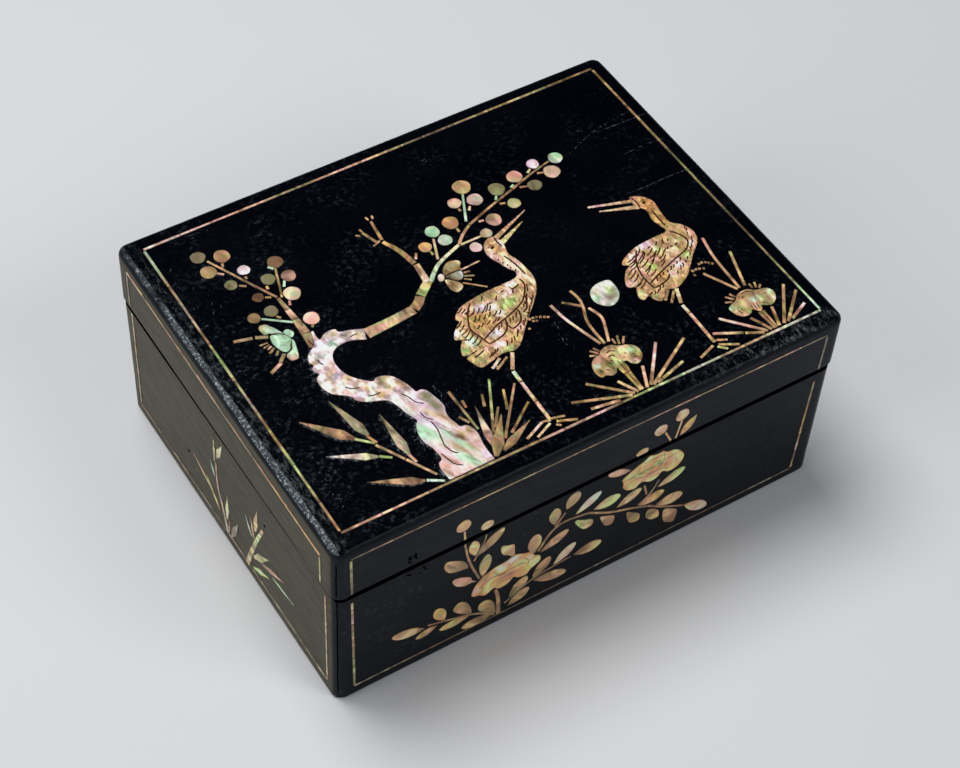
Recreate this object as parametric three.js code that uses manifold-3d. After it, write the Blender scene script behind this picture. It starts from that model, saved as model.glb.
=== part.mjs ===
import * as THREE from 'three';
import { mergeVertices } from 'three/addons/utils/BufferGeometryUtils.js';
import Module from 'manifold-3d';

// A black lacquered wooden box with a lift-off lid, inlaid with mother-of-pearl.
// Millimetres, +Z up, +X along the long front, the front faces -Y.
// The origin is the middle of the underside.

// Driving dimensions of the box
const LENGTH = 250; // lid, along X
const WIDTH = 190.5; // lid, along Y
const HEIGHT = 104.5; // underside to the lacquered top of the lid
const RIM = 72.75; // height of the box walls
const SEAM = 2; // open joint between the box walls and the lid walls
const OVERHANG = 0.5; // the lid stands this far past the box on every side
const WALL = 6.5;
const BOTTOM = 6.5;
const TOP = 7;
const CORNER_RADIUS = 5; // upright corners, in plan
const TOP_EDGE_RADIUS = 3.7;
const BOTTOM_EDGE_RADIUS = 1.5;
const EDGE_STEPS = 6;

// The lip inside the box rim that carries and centres the lid
const LIP_HEIGHT = 5;
const LIP = 3;
const LIP_CLEARANCE = 0.5;

// Driving dimensions of the inlay
const SHELL = 0.2; // how far the shell stands on the lacquer
const STRIP = 1.4; // width of a border strip
const TOE = 1.2; // width of a crane's toe
const CURVE_STEPS = 5; // points between two named points of a curve
const ROUND_STEPS = 18;

// Sizes worked out from these
const LID_FOOT = RIM + SEAM;
const LID_SHOULDER = RIM + LIP_HEIGHT;
const LID_CEILING = HEIGHT - TOP;
const LID = { x: LENGTH / 2, y: WIDTH / 2 };
const BOX = { x: LENGTH / 2 - OVERHANG, y: WIDTH / 2 - OVERHANG };
const LIP_OUTSIDE = { x: BOX.x - WALL + LIP, y: BOX.y - WALL + LIP };
const REBATE = { x: LIP_OUTSIDE.x + LIP_CLEARANCE, y: LIP_OUTSIDE.y + LIP_CLEARANCE };

const LACQUER = new THREE.MeshStandardMaterial({ color: 0x14161b, roughness: 0.3, metalness: 0 });
const NACRE = new THREE.MeshStandardMaterial({ color: 0xc9b294, roughness: 0.25, metalness: 0.1 });
const PALE_NACRE = new THREE.MeshStandardMaterial({ color: 0xe0d9d2, roughness: 0.2, metalness: 0.1 });

const wasm = await Module();
wasm.setup();

// Joining and cutting closed meshes
function toSolid(geometry) {
  const bare = geometry.index ? geometry.toNonIndexed() : geometry.clone();
  bare.deleteAttribute('normal');
  bare.deleteAttribute('uv');
  const merged = mergeVertices(bare, 1e-4);
  return new wasm.Manifold(new wasm.Mesh({
    numProp: 3,
    vertProperties: new Float32Array(merged.attributes.position.array),
    triVerts: new Uint32Array(merged.index.array),
  }));
}

function toGeometry(solid) {
  const mesh = solid.getMesh();
  const geometry = new THREE.BufferGeometry();
  geometry.setAttribute('position', new THREE.BufferAttribute(new Float32Array(mesh.vertProperties), 3));
  geometry.setIndex(new THREE.BufferAttribute(new Uint32Array(mesh.triVerts), 1));
  geometry.computeVertexNormals();
  return geometry;
}

// A plain block between two corners
function block(low, high) {
  const size = high.map((value, axis) => value - low[axis]);
  const middle = high.map((value, axis) => (value + low[axis]) / 2);
  return toSolid(new THREE.BoxGeometry(...size).translate(...middle));
}

// A rectangle with round corners, centred on the origin
function roundedRectangle(half, radius) {
  const outline = new THREE.Shape();
  const inner = { x: half.x - radius, y: half.y - radius };
  const centres = [[inner.x, inner.y], [-inner.x, inner.y], [-inner.x, -inner.y], [inner.x, -inner.y]];
  centres.forEach(([x, y], quarter) => {
    const start = (quarter * Math.PI) / 2;
    outline.absarc(x, y, radius, start, start + Math.PI / 2, false);
  });
  outline.closePath();
  return outline;
}

// A block with round upright corners whose edges above and below are rounded alike
function roundedBlock(half, low, high, edgeRadius) {
  const geometry = new THREE.ExtrudeGeometry(roundedRectangle(half, CORNER_RADIUS), {
    depth: high - low - 2 * edgeRadius,
    bevelThickness: edgeRadius,
    bevelSize: edgeRadius,
    bevelOffset: -edgeRadius,
    bevelSegments: EDGE_STEPS,
    curveSegments: EDGE_STEPS,
  });
  return toSolid(geometry.translate(0, 0, low + edgeRadius));
}

const object = new THREE.Group();

function addPiece(parent, name, geometry, material) {
  const mesh = new THREE.Mesh(geometry, material);
  mesh.name = name;
  parent.add(mesh);
}

// The four upright walls: long ones run through, short ones stand between them
const SIDES = [
  { name: 'front', along: 'x', sign: -1 },
  { name: 'back', along: 'x', sign: 1 },
  { name: 'left', along: 'y', sign: -1 },
  { name: 'right', along: 'y', sign: 1 },
];

// The slab of one wall, from its outside face inwards, between two heights
function wallSlab(side, half, outside, inside, reach, low, high) {
  const face = half[side.along === 'x' ? 'y' : 'x'];
  const near = Math.min(side.sign * (face - outside), side.sign * (face - inside));
  const far = near + inside - outside;
  return side.along === 'x'
    ? block([-reach, near, low], [reach, far, high])
    : block([near, -reach, low], [far, reach, high]);
}

function makeBox() {
  const round = roundedBlock(BOX, 0, HEIGHT, BOTTOM_EDGE_RADIUS);
  const bottom = round.intersect(block([-LENGTH, -WIDTH, 0], [LENGTH, WIDTH, BOTTOM]));
  addPiece(object, 'box_bottom', toGeometry(bottom), LACQUER);
  SIDES.forEach((side) => {
    const long = side.along === 'x';
    const wall = wallSlab(side, BOX, 0, WALL, long ? BOX.x : BOX.y - WALL, BOTTOM, RIM);
    const lipReach = long ? LIP_OUTSIDE.x : BOX.y - WALL;
    const lip = wallSlab(side, BOX, WALL - LIP, WALL, lipReach, BOTTOM, LID_SHOULDER);
    addPiece(object, `box_${side.name}_wall`, toGeometry(wall.intersect(round).add(lip)), LACQUER);
  });
}

function makeLid() {
  const round = roundedBlock(LID, 0, HEIGHT, TOP_EDGE_RADIUS);
  const top = round.intersect(block([-LENGTH, -WIDTH, LID_CEILING], [LENGTH, WIDTH, HEIGHT]));
  addPiece(object, 'lid_top', toGeometry(top), LACQUER);
  const rebate = block([-REBATE.x, -REBATE.y, 0], [REBATE.x, REBATE.y, LID_SHOULDER]);
  SIDES.forEach((side) => {
    const reach = side.along === 'x' ? LID.x : LID.y - WALL;
    const wall = wallSlab(side, LID, 0, WALL, reach, LID_FOOT, LID_CEILING);
    addPiece(object, `lid_${side.name}_wall`, toGeometry(wall.intersect(round).subtract(rebate)), LACQUER);
  });
}

// Flat shapes for the shell, drawn on a face with u to the right and v up

// A band along a smooth line through points of [u, v, width]
function band(...points) {
  const line = new THREE.CatmullRomCurve3(points.map(([u, v, width]) => new THREE.Vector3(u, v, width)));
  const steps = points.length > 2 ? (points.length - 1) * CURVE_STEPS : 1;
  const left = [];
  const right = [];
  for (let step = 0; step <= steps; step += 1) {
    const at = line.getPoint(step / steps);
    const way = line.getTangent(step / steps);
    const across = new THREE.Vector2(-way.y, way.x).normalize().multiplyScalar(at.z / 2);
    left.push(new THREE.Vector2(at.x + across.x, at.y + across.y));
    right.unshift(new THREE.Vector2(at.x - across.x, at.y - across.y));
  }
  return new THREE.Shape([...right.reverse(), ...left.reverse()]);
}

function oval(u, v, radiusU, radiusV, turn = 0) {
  const outline = new THREE.Shape();
  outline.absellipse(u, v, radiusU, radiusV, 0, 2 * Math.PI, false, turn);
  return new THREE.Shape(outline.getPoints(ROUND_STEPS).slice(0, -1));
}

// A ring of overlapping round petals about a middle
function petalRing(u, v, radiusU, radiusV, petals, petalRadius) {
  const shapes = [oval(u, v, radiusU, radiusV)];
  for (let petal = 0; petal < petals; petal += 1) {
    const angle = (2 * Math.PI * petal) / petals;
    const middle = [u + radiusU * Math.cos(angle), v + radiusV * Math.sin(angle)];
    shapes.push(oval(...middle, petalRadius, petalRadius));
  }
  return shapes;
}

// One piece of shell from shapes that run into each other
function shellPiece(face, name, shapes, material = NACRE) {
  const plates = shapes.map((shape) => toSolid(new THREE.ExtrudeGeometry(shape, {
    depth: SHELL, bevelEnabled: false,
  })));
  const joined = plates.reduce((whole, plate) => whole.add(plate));
  addPiece(face, name, toGeometry(joined), material);
}

// A face to lay shell on: its u and v directions and the way it looks, at a distance from the origin
function makeFace(across, up, out, distance) {
  const face = new THREE.Group();
  face.matrixAutoUpdate = false;
  face.matrix.makeBasis(across, up, out).setPosition(out.clone().multiplyScalar(distance));
  object.add(face);
  return face;
}

const X = new THREE.Vector3(1, 0, 0);
const Y = new THREE.Vector3(0, 1, 0);
const Z = new THREE.Vector3(0, 0, 1);
const topFace = makeFace(X, Y, Z, HEIGHT);
const sideFaces = {
  front: { lid: makeFace(X, Z, Y.clone().negate(), LID.y), box: makeFace(X, Z, Y.clone().negate(), BOX.y) },
  back: { lid: makeFace(X.clone().negate(), Z, Y, LID.y), box: makeFace(X.clone().negate(), Z, Y, BOX.y) },
  left: {
    lid: makeFace(Y.clone().negate(), Z, X.clone().negate(), LID.x),
    box: makeFace(Y.clone().negate(), Z, X.clone().negate(), BOX.x),
  },
  right: { lid: makeFace(Y, Z, X, LID.x), box: makeFace(Y, Z, X, BOX.x) },
};

function strip(face, name, from, to) {
  shellPiece(face, name, [band([...from, STRIP], [...to, STRIP])]);
}

// The border on the top, laid by hand and a little out of square
function makeTopBorder() {
  const corner = {
    frontLeft: [-116.6, -85.6],
    frontRight: [117.2, -86.9],
    backLeft: [-115.2, 86.6],
    backRight: [117, 87.7],
  };
  const inset = STRIP / 2 + 0.3;
  strip(topFace, 'top_border_front', corner.frontLeft, corner.frontRight);
  strip(topFace, 'top_border_back', corner.backLeft, corner.backRight);
  ['Left', 'Right'].forEach((end) => {
    const front = corner[`front${end}`];
    const back = corner[`back${end}`];
    const name = `top_border_${end.toLowerCase()}`;
    strip(topFace, name, [front[0], front[1] + inset], [back[0], back[1] - inset]);
  });
}

// The frame on one side: a strip below the lid's top edge, uprights on lid and box, a strip along the foot
function makeSideFrame(name, lidLeft, lidRight, boxLeft, boxRight) {
  const { lid, box } = sideFaces[name];
  const below = STRIP / 2 + 0.3;
  strip(lid, `${name}_lid_strip_top`, lidLeft.head, lidRight.head);
  [['left', lidLeft], ['right', lidRight]].forEach(([end, line]) => {
    strip(lid, `${name}_lid_strip_${end}`, [line.head[0], line.head[1] - below], line.foot);
  });
  [['left', boxLeft], ['right', boxRight]].forEach(([end, line]) => {
    strip(box, `${name}_box_strip_${end}`, line.head, [line.foot[0], line.foot[1] + below]);
  });
  strip(box, `${name}_box_strip_foot`, boxLeft.foot, boxRight.foot);
}

function makeSideFrames() {
  makeSideFrame(
    'front',
    { head: [-117.6, 99.2], foot: [-117.3, 75.4] },
    { head: [116, 97.3], foot: [115.2, 75.4] },
    { head: [-116.9, 68.5], foot: [-116, 6.8] },
    { head: [115.2, 67], foot: [113.4, 6.2] },
  );
  makeSideFrame(
    'left',
    { head: [-84, 97.9], foot: [-84.5, 76] },
    { head: [83.6, 93.2], foot: [83.6, 75.4] },
    { head: [-84.4, 71], foot: [-85.4, 7.6] },
    { head: [86.6, 69], foot: [87, 7.6] },
  );
  // The back and the right end are laid more evenly
  [['back', 117], ['right', 86]].forEach(([name, reach]) => {
    makeSideFrame(
      name,
      { head: [-reach, 98], foot: [-reach, 75.6] },
      { head: [reach, 98], foot: [reach, 75.6] },
      { head: [-reach, 69], foot: [-reach, 7] },
      { head: [reach, 69], foot: [reach, 7] },
    );
  });
}

// The old plum tree: a stout trunk, an upright branch and an arm to the right
function makePlumTree() {
  shellPiece(topFace, 'plum_trunk', [
    band([-57, -84.7, 21], [-57, -75, 19.5], [-58, -65, 17.5], [-58.4, -56, 15.5], [-58.6, -47, 13.5],
      [-60.6, -39, 12], [-65, -32, 13], [-72.5, -26, 13], [-79, -19, 12.5], [-81.4, -11, 11],
      [-80.6, -3, 10.5], [-77.6, 3.4, 9]),
    band([-79, 0, 8], [-71, 4.4, 7], [-64, 2.4, 6.5], [-58.6, -0.6, 6]),
    oval(-51.4, -46.5, 4.6, 8.6, 0.1),
    oval(-63, -29, 5, 5),
    oval(-69, 6, 2.6, 1.8),
  ], PALE_NACRE);
  shellPiece(topFace, 'plum_branch_left', [
    band([-78.9, 8.6, 5.4], [-78.6, 14, 4.6], [-78.7, 24, 3.6], [-78.9, 33, 2]),
  ]);
  shellPiece(topFace, 'plum_branch_right', [
    band([-56.5, -1.6, 6], [-46, -0.6, 5.2], [-33.4, 0.6, 4.6]),
    band([-34.6, 0.3, 4.6], [-27, 4.8, 4.4], [-18.6, 10.4, 4]),
  ]);
}

// A standing crane in two pieces of shell: body with neck and open beak, and the leg it stands on
function makeCrane(side, crane) {
  shellPiece(topFace, `${side}_crane`, [
    band(...crane.body),
    band(...crane.neck),
    oval(...crane.head),
    ...crane.beak.map((half) => band(...half)),
    ...crane.tail.map((feather) => oval(...feather)),
  ]);
  shellPiece(topFace, `${side}_crane_leg`, [
    band(...crane.leg),
    ...crane.toes.map((toe) => band([...crane.leg.at(-1).slice(0, 2), TOE], [...toe, TOE])),
  ]);
}

function makeCranes() {
  makeCrane('left', {
    body: [
      [-26, -31, 8], [-19.5, -25.5, 23], [-9.5, -22.5, 28.5],
      [2, -19, 24.5], [12, -13.5, 16], [18.6, -7.5, 6],
    ],
    neck: [[15.6, -12, 9], [18.9, -5, 6.4], [18.2, 3, 5.6], [16, 10, 6.4]],
    head: [15.8, 13.6, 4.4, 5, -0.3],
    beak: [[[17.5, 15.6, 2.4], [39.5, 25.4, 0.6]], [[17.5, 13, 2.6], [34.6, 20.4, 0.6]]],
    tail: [[-21.5, -37.5, 7.5, 3.6, 0.3], [-22, -21, 5.6, 3.4, 0.7]],
    leg: [[-15, -50, 1.7], [-15.2, -64, 1.7], [-15.6, -79, 1.7]],
    toes: [[-9.4, -80.2], [-6, -84.4], [-25, -83.6]],
  });
  makeCrane('right', {
    body: [
      [55.5, -35.5, 8], [62, -32, 19], [70, -30.6, 26],
      [80, -27.6, 22.5], [88.5, -24, 16], [95.6, -21.6, 7],
    ],
    neck: [[92, -19, 9], [88.4, -11.5, 5.8], [87.7, -4, 5.4], [88.4, 2, 6.2]],
    head: [88, 4, 4.2, 4.6, -0.5],
    beak: [[[86, 6.4, 2.2], [64.6, 13.3, 0.9]], [[86, 2.6, 2.6], [67.6, 8.6, 0.6]]],
    tail: [[60.6, -44.6, 3.2, 4, 0.5], [57, -41, 3.4, 3.4, 0], [62.5, -22.6, 5, 2.6, 0.5]],
    leg: [[67.4, -54.6, 1.7], [67.3, -66, 1.6], [67.2, -78.6, 1.6]],
    toes: [[72.8, -80.4], [75, -84.6], [57.2, -82.4]],
  });
}

// An iris: three falling petals above its stem
function makeIris(side, u, v) {
  shellPiece(topFace, `${side}_iris`, [
    oval(u, v + 3.4, 7.4, 4.2),
    oval(u - 6.2, v - 1.4, 5.4, 5.2),
    oval(u + 6.2, v - 1.4, 5.4, 5.2),
    band([u, v + 2, 4.4], [u + 0.2, v - 17.6, 3]),
  ]);
}

function makeTopFlowers() {
  makeIris('left', 26, -65.2);
  makeIris('right', 94.6, -67);
  shellPiece(topFace, 'pearl', [oval(42.4, -33.4, 6.4, 6.3)], PALE_NACRE);
  shellPiece(topFace, 'left_plum_blossom', [
    oval(-90.6, 12.4, 3.3, 5.6),
    oval(-91, 19.2, 2, 4.6, 0.2),
    oval(-88.4, 4.6, 2.2, 4.4, -0.25),
    oval(-86, 14.2, 2.4, 2.2),
  ], PALE_NACRE);
  shellPiece(topFace, 'right_plum_blossom', [
    oval(-8, 11.6, 4.6, 3.6, 0.4),
    oval(-7, 8.2, 3.4, 2.6),
    oval(-11.4, 6, 2.3, 5.6, 0.25),
  ], PALE_NACRE);
}

// Two full peonies on the front of the box
function makePeonies() {
  shellPiece(sideFaces.front.box, 'left_peony', petalRing(-42.6, 35.6, 12.6, 5.4, 9, 4.4));
  shellPiece(sideFaces.front.box, 'right_peony', petalRing(30.4, 61.6, 12, 5.4, 9, 4.4));
}

makeBox();
makeLid();
makeTopBorder();
makeSideFrames();
makePlumTree();
makeCranes();
makeTopFlowers();
makePeonies();

export default object;
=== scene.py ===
import math
import random

import bmesh
import bpy
from mathutils import Matrix, Vector, noise
from mathutils.geometry import delaunay_2d_cdt, tessellate_polygon


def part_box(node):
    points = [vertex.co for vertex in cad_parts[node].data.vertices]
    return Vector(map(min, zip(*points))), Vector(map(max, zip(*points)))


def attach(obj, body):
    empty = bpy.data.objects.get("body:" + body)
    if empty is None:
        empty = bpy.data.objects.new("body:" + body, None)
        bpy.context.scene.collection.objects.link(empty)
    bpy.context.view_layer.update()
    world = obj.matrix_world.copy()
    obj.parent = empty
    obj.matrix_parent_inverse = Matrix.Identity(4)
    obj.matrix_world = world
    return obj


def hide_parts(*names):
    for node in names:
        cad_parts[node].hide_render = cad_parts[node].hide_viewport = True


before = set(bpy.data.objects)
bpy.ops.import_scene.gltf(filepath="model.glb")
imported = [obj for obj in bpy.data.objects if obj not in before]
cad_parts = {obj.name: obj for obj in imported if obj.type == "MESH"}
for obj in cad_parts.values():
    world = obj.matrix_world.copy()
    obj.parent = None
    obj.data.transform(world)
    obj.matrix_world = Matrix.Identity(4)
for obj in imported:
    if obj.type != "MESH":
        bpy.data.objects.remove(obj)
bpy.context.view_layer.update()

# A black lacquered box with a lift-off lid, inlaid with mother-of-pearl.
# Lengths are in millimetres here and become metres where a mesh is made.
MM = 0.001
DRAW = random.Random(11)

# The box and lid, from the frame
LID_LOW, LID_HIGH = (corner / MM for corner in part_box("lid_top"))
BOX_LOW, BOX_HIGH = (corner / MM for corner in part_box("box_front_wall"))
LID_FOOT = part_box("lid_front_wall")[0].z / MM
LID_HALF = Vector((LID_HIGH.x, LID_HIGH.y))
BOX_HALF = Vector((BOX_HIGH.x, -BOX_LOW.y))
TOP = LID_HIGH.z
CEILING = LID_LOW.z
FLOOR_OF_BOX = BOX_LOW.z
LIP_TOP = BOX_HIGH.z
SIDES = ("front", "back", "left", "right")

# Shapes of the lacquered boards
SEAM = 2.0
RIM = LID_FOOT - SEAM
WALL = 6.5
REBATE = 3.5
CORNER_RADIUS = 5.0
TOP_EDGE_RADIUS = 3.7
FOOT_EDGE_RADIUS = 1.5
RIM_EDGE_RADIUS = 0.6
INSIDE_CORNER_RADIUS = 0.6

# The lid's left edge sags into the seam, and the wall below the rim is painted black this far down, as
# painted shadow in the seam
LEFT_SAG = 0.9
SAG_REACH = 8
FRONT_SEAM_SHADOW = 1.6
LEFT_SEAM_SHADOW = 1.25
OTHER_SEAM_SHADOW = 0.6

# Rings of points: up the lid's wall, in over its top, below the rim, down the box's wall and under it
LID_RISES = (2, 6, 11, 16, 21)
TOP_INSETS = (4.1, 4.8, 6, 7.4, 9, 11, 15, 20, 27, 36, 47, 60, 75, 90)
RIM_DROPS = (0.9, 1.2, 1.5, 1.8, 2.4)
BOX_HEIGHTS = (60, 50, 40, 30, 20, 10, 4)
FOOT_INSETS = (3, 12)
CORNER_STEPS = 8
LONG_STEPS = 64
SHORT_STEPS = 48
ROUND_STEPS = 8

# Wear from 0 to 1, and how far the box's walls have the look of a side, where the lid's have all of it
WALL_WEAR = 0.05
LID_FOOT_WEAR = 0.15
TOP_EDGE_WEAR = 0.2
# The rim's edge is worn, and its wear also paints the thin highlight line under the seam
RIM_WEAR_AND_HIGHLIGHT = 0.4
FOOT_WEAR = 0.35
# Less of the side look leaves the box's walls darker than the lid's: painted shade for the shadowed floor
# they reflect
BOX_SIDE_WITH_PAINTED_SHADE = 0.48
# A high power keeps dents square on to a wall until close to a corner
SQUARE_ON = 12

# The shell
SUNK = 0.1
STANDS = 0.11
SHELL_BEVEL = 0.05
RIM_WIDTH = 0.3
RIM_SHARE = 0.35
# How dark each plate's rim is made: painted shade at the edges of the pieces
RIM_PAINTED_SHADE = 0.45
SHARPEST = 0.5
LEVEL = 0.004
LEVELS = 7
ENGRAVED = 0.035
IN_LACQUER = 0.03 - STANDS
# Points inside a plate that carries spots, and how softly the spots end
FIELD = 1.35
FIELD_CLEAR = 0.4
SPOT_POWER = 1.6
# Strips: width, the shortest and longest length that is drawn, the least that is left over, and the gap
STRIP = 1.25
THIN_STRIP = 0.9
STRIP_SHORT = 9
STRIP_LONG = 30
STRIP_LEAST = 6
STRIP_GAP = 0.12
# Widths of twigs and grass, and the length of the chips beside the cranes
TWIG = 1.1
GRASS = 1.4
CHIP = 1.45
# The front's shell stops short of the seam
BOX_HIGHEST = RIM - 1.0
LID_LOWEST = LID_FOOT + 0.6
# How much brighter than its shade the shell is made. On the front and the left end this is painted light,
# where little light falls
FRONT_PAINTED_LIGHT = 2.0
LEFT_PAINTED_LIGHT = 1.75
# On the trunk, the cranes and the irises the pieces are paler
TRUNK_BRIGHT = 1.14
CRANE_BRIGHT = 1.18
IRIS_BRIGHT = 1.15
# The bands of colour and of painted sheen in the trunk lean this far from straight up, and its painted lumps
# of highlight and shade begin between two heights
TRUNK_SLANT = 0.42
PAINTED_LUMPS_FROM = -48 * MM
PAINTED_LUMPS_FULL = -36 * MM

# Cut lines: their width at the ends as a share, how much longer the feathers are cut, and widths
FINE_END = 0.45
FEATHER_LONG = 1.25
CRANE_CUT = 0.85
FEATHER_CUT = 0.68
BROW_CUT = 0.35
IRIS_CUT = 0.6
CRACK_CUT = 0.6
PETAL_CUT = 0.55
FOLD_CUT = 0.26
SCRATCH_CUT = 0.4
CHIP_CUT = 0.35
CORNER_CUT = 0.5

# Marks of use: how near the scuffs come to the top's edges, a crack's bends, and the nail holes
SCUFF_LEFT = 5 - LID_HALF.x
SCUFF_FRONT = 6 - LID_HALF.y
CRACK_STEP = 5
NAIL_RADIUS = 0.8
# Bare lacquer beside the trunk and the bamboo leaves: width, shift, and number of chips at each point
HALO = 1.5
HALO_SHIFT = 0.2
HALO_CHIPS = 6
LEAF_HALO = 0.6
LEAF_SHIFT = Vector((0.9, 0.2))

# The photo's camera: turn, height and roll in degrees, lengths in millimetres, focal length in pixels
VIEW_TURN = -35.0504
VIEW_HEIGHT = 49.9661
VIEW_ROLL = 3.8526
VIEW_ACROSS = -4.9766
VIEW_UP = -22.9629
VIEW_DISTANCE = 1010.2734
FOCAL_PIXELS = 2183.0566
FRAME_PIXELS = 960
SENSOR = 36.0

# Soft round lights: name, place and aim in metres, size, power
LIGHTS = (
    ("key", (-0.35, 0.75, 2.2), (0, 0, 0.05), 1.3, 36),
    ("left_fill", (-1.7, 0.1, 1.3), (-0.15, 0, 0.02), 1.2, 10),
    ("front_fill", (0.9, -1.7, 1.7), (0, 0, 0.05), 1.2, 15),
)
ROOM_COLOUR = (0.85, 0.93, 1, 1)
ROOM_LIGHT = 0.05
FLOOR_REACH = 4000


def srgb(red, green, blue):
    """A colour as seen on a screen, as the linear values a shader takes."""
    linear = []
    for level in (red, green, blue):
        part = level / 255
        linear.append(part / 12.92 if part <= 0.04045 else ((part + 0.055) / 1.055) ** 2.4)
    return (*linear, 1.0)


# The tints of the shell
SHADES = {
    "tan": srgb(176, 148, 112),
    "gold": srgb(192, 160, 104),
    "orange": srgb(192, 144, 98),
    "brown": srgb(138, 110, 82),
    "olive": srgb(152, 146, 106),
    "pink": srgb(218, 172, 156),
    "rose": srgb(230, 198, 196),
    "cream": srgb(222, 206, 170),
    "white": srgb(240, 236, 230),
    "green": srgb(164, 190, 126),
    "mint": srgb(180, 222, 196),
    "silver": srgb(196, 206, 196),
    "lilac": srgb(208, 194, 220),
    "grey": srgb(156, 148, 132),
    "dull": srgb(104, 94, 76),
    "moss": srgb(128, 126, 94),
    "umber": srgb(122, 96, 68),
    "sand": srgb(158, 124, 94),
}

# The lacquer: two ends of a range of colour, or the colour of a kind of wear; the rubbed and the bare colour
# are also painted sheen and highlight along the top's left edge and the rim's edge
TOP_BLACK = (srgb(1, 2, 7), srgb(4, 6, 13))
DARK_SIDE = (srgb(22, 26, 32), srgb(34, 38, 45))
OLIVE_SIDE = (srgb(53, 49, 35), srgb(88, 83, 62))
SPECKED = srgb(92, 106, 118)
RUBBED_AND_SHEEN = srgb(62, 68, 74)
BARE_AND_HIGHLIGHT = srgb(206, 213, 216)
BRUSHED = srgb(122, 128, 129)
LACQUER_SHINE = 0.055


# Node materials

class Nodes:
    """A node tree with short ways to add and join nodes."""

    def __init__(self, name):
        self.material = bpy.data.materials.new(name)
        self.material.use_nodes = True
        self.tree = self.material.node_tree
        self.shader = self.tree.nodes["Principled BSDF"]

    def add(self, kind, **settings):
        node = self.tree.nodes.new(kind)
        for name, value in settings.items():
            setattr(node, name, value)
        return node

    def put(self, socket, value):
        """Join a socket to another node's, or set it to a value."""
        if isinstance(value, bpy.types.NodeSocket):
            self.tree.links.new(value, socket)
        else:
            socket.default_value = value

    def place(self):
        return self.add("ShaderNodeTexCoord").outputs["Object"]

    def value(self, name):
        return self.add("ShaderNodeAttribute", attribute_name=name).outputs["Fac"]

    def tint(self, name):
        return self.add("ShaderNodeAttribute", attribute_name=name).outputs["Color"]

    def math(self, operation, first, second=0.0, third=0.0):
        node = self.add("ShaderNodeMath", operation=operation)
        for socket, value in zip(node.inputs, (first, second, third)):
            self.put(socket, value)
        return node.outputs[0]

    def plus(self, first, second):
        return self.math("ADD", first, second)

    def times(self, first, second):
        return self.math("MULTIPLY", first, second)

    def line(self, value, slope, start):
        return self.math("MULTIPLY_ADD", value, slope, start)

    def vector(self, operation, first, second):
        """Vector maths. The second value of SCALE is a number."""
        node = self.add("ShaderNodeVectorMath", operation=operation)
        self.put(node.inputs[0], first)
        self.put(node.inputs["Scale" if operation == "SCALE" else 1], second)
        return node.outputs[0]

    def stretch(self, place, scale):
        node = self.add("ShaderNodeMapping")
        self.put(node.inputs["Vector"], place)
        self.put(node.inputs["Scale"], scale)
        return node.outputs[0]

    def noise(self, place, scale, detail=2.0, roughness=0.5, twist=0.0):
        node = self.add("ShaderNodeTexNoise")
        settings = (("Vector", place), ("Scale", scale), ("Detail", detail), ("Roughness", roughness))
        for name, value in (*settings, ("Distortion", twist)):
            self.put(node.inputs[name], value)
        return node.outputs["Fac"]

    def step(self, value, low, high, bottom=0.0, top=1.0):
        """A smooth rise from bottom to top, between a low and a high value."""
        node = self.add("ShaderNodeMapRange", interpolation_type="SMOOTHSTEP")
        limits = (("From Min", low), ("From Max", high), ("To Min", bottom), ("To Max", top))
        for name, level in (("Value", value), *limits):
            self.put(node.inputs[name], level)
        return node.outputs["Result"]

    def mix(self, amount, first, second, blend="MIX"):
        node = self.add("ShaderNodeMix", data_type="RGBA", blend_type=blend)
        self.put(node.inputs["Factor"], amount)
        self.put(node.inputs[6], first)
        self.put(node.inputs[7], second)
        return node.outputs[2]

    def ramp(self, value, *stops):
        """Colours at stops of (position, red, green, blue)."""
        node = self.add("ShaderNodeValToRGB")
        self.put(node.inputs["Fac"], value)
        marks = node.color_ramp.elements
        while len(marks) < len(stops):
            marks.new(0.5)
        for mark, (position, *colour) in zip(marks, stops):
            mark.position = position
            mark.color = (*colour, 1)
        return node.outputs["Color"]

    def varied(self, level, amount, scale):
        """A level with a little noise on it."""
        return self.plus(level, self.times(self.noise(self.place(), scale), amount))

    def bump(self, height, strength, distance):
        node = self.add("ShaderNodeBump")
        for name, value in (("Strength", strength), ("Distance", distance), ("Height", height)):
            self.put(node.inputs[name], value)
        self.put(self.shader.inputs["Normal"], node.outputs["Normal"])

    def finish(self, colour, rough, **constants):
        self.put(self.shader.inputs["Base Color"], colour)
        self.put(self.shader.inputs["Roughness"], rough)
        for name, value in constants.items():
            self.shader.inputs[name.replace("_", " ")].default_value = value
        return self.material


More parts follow.
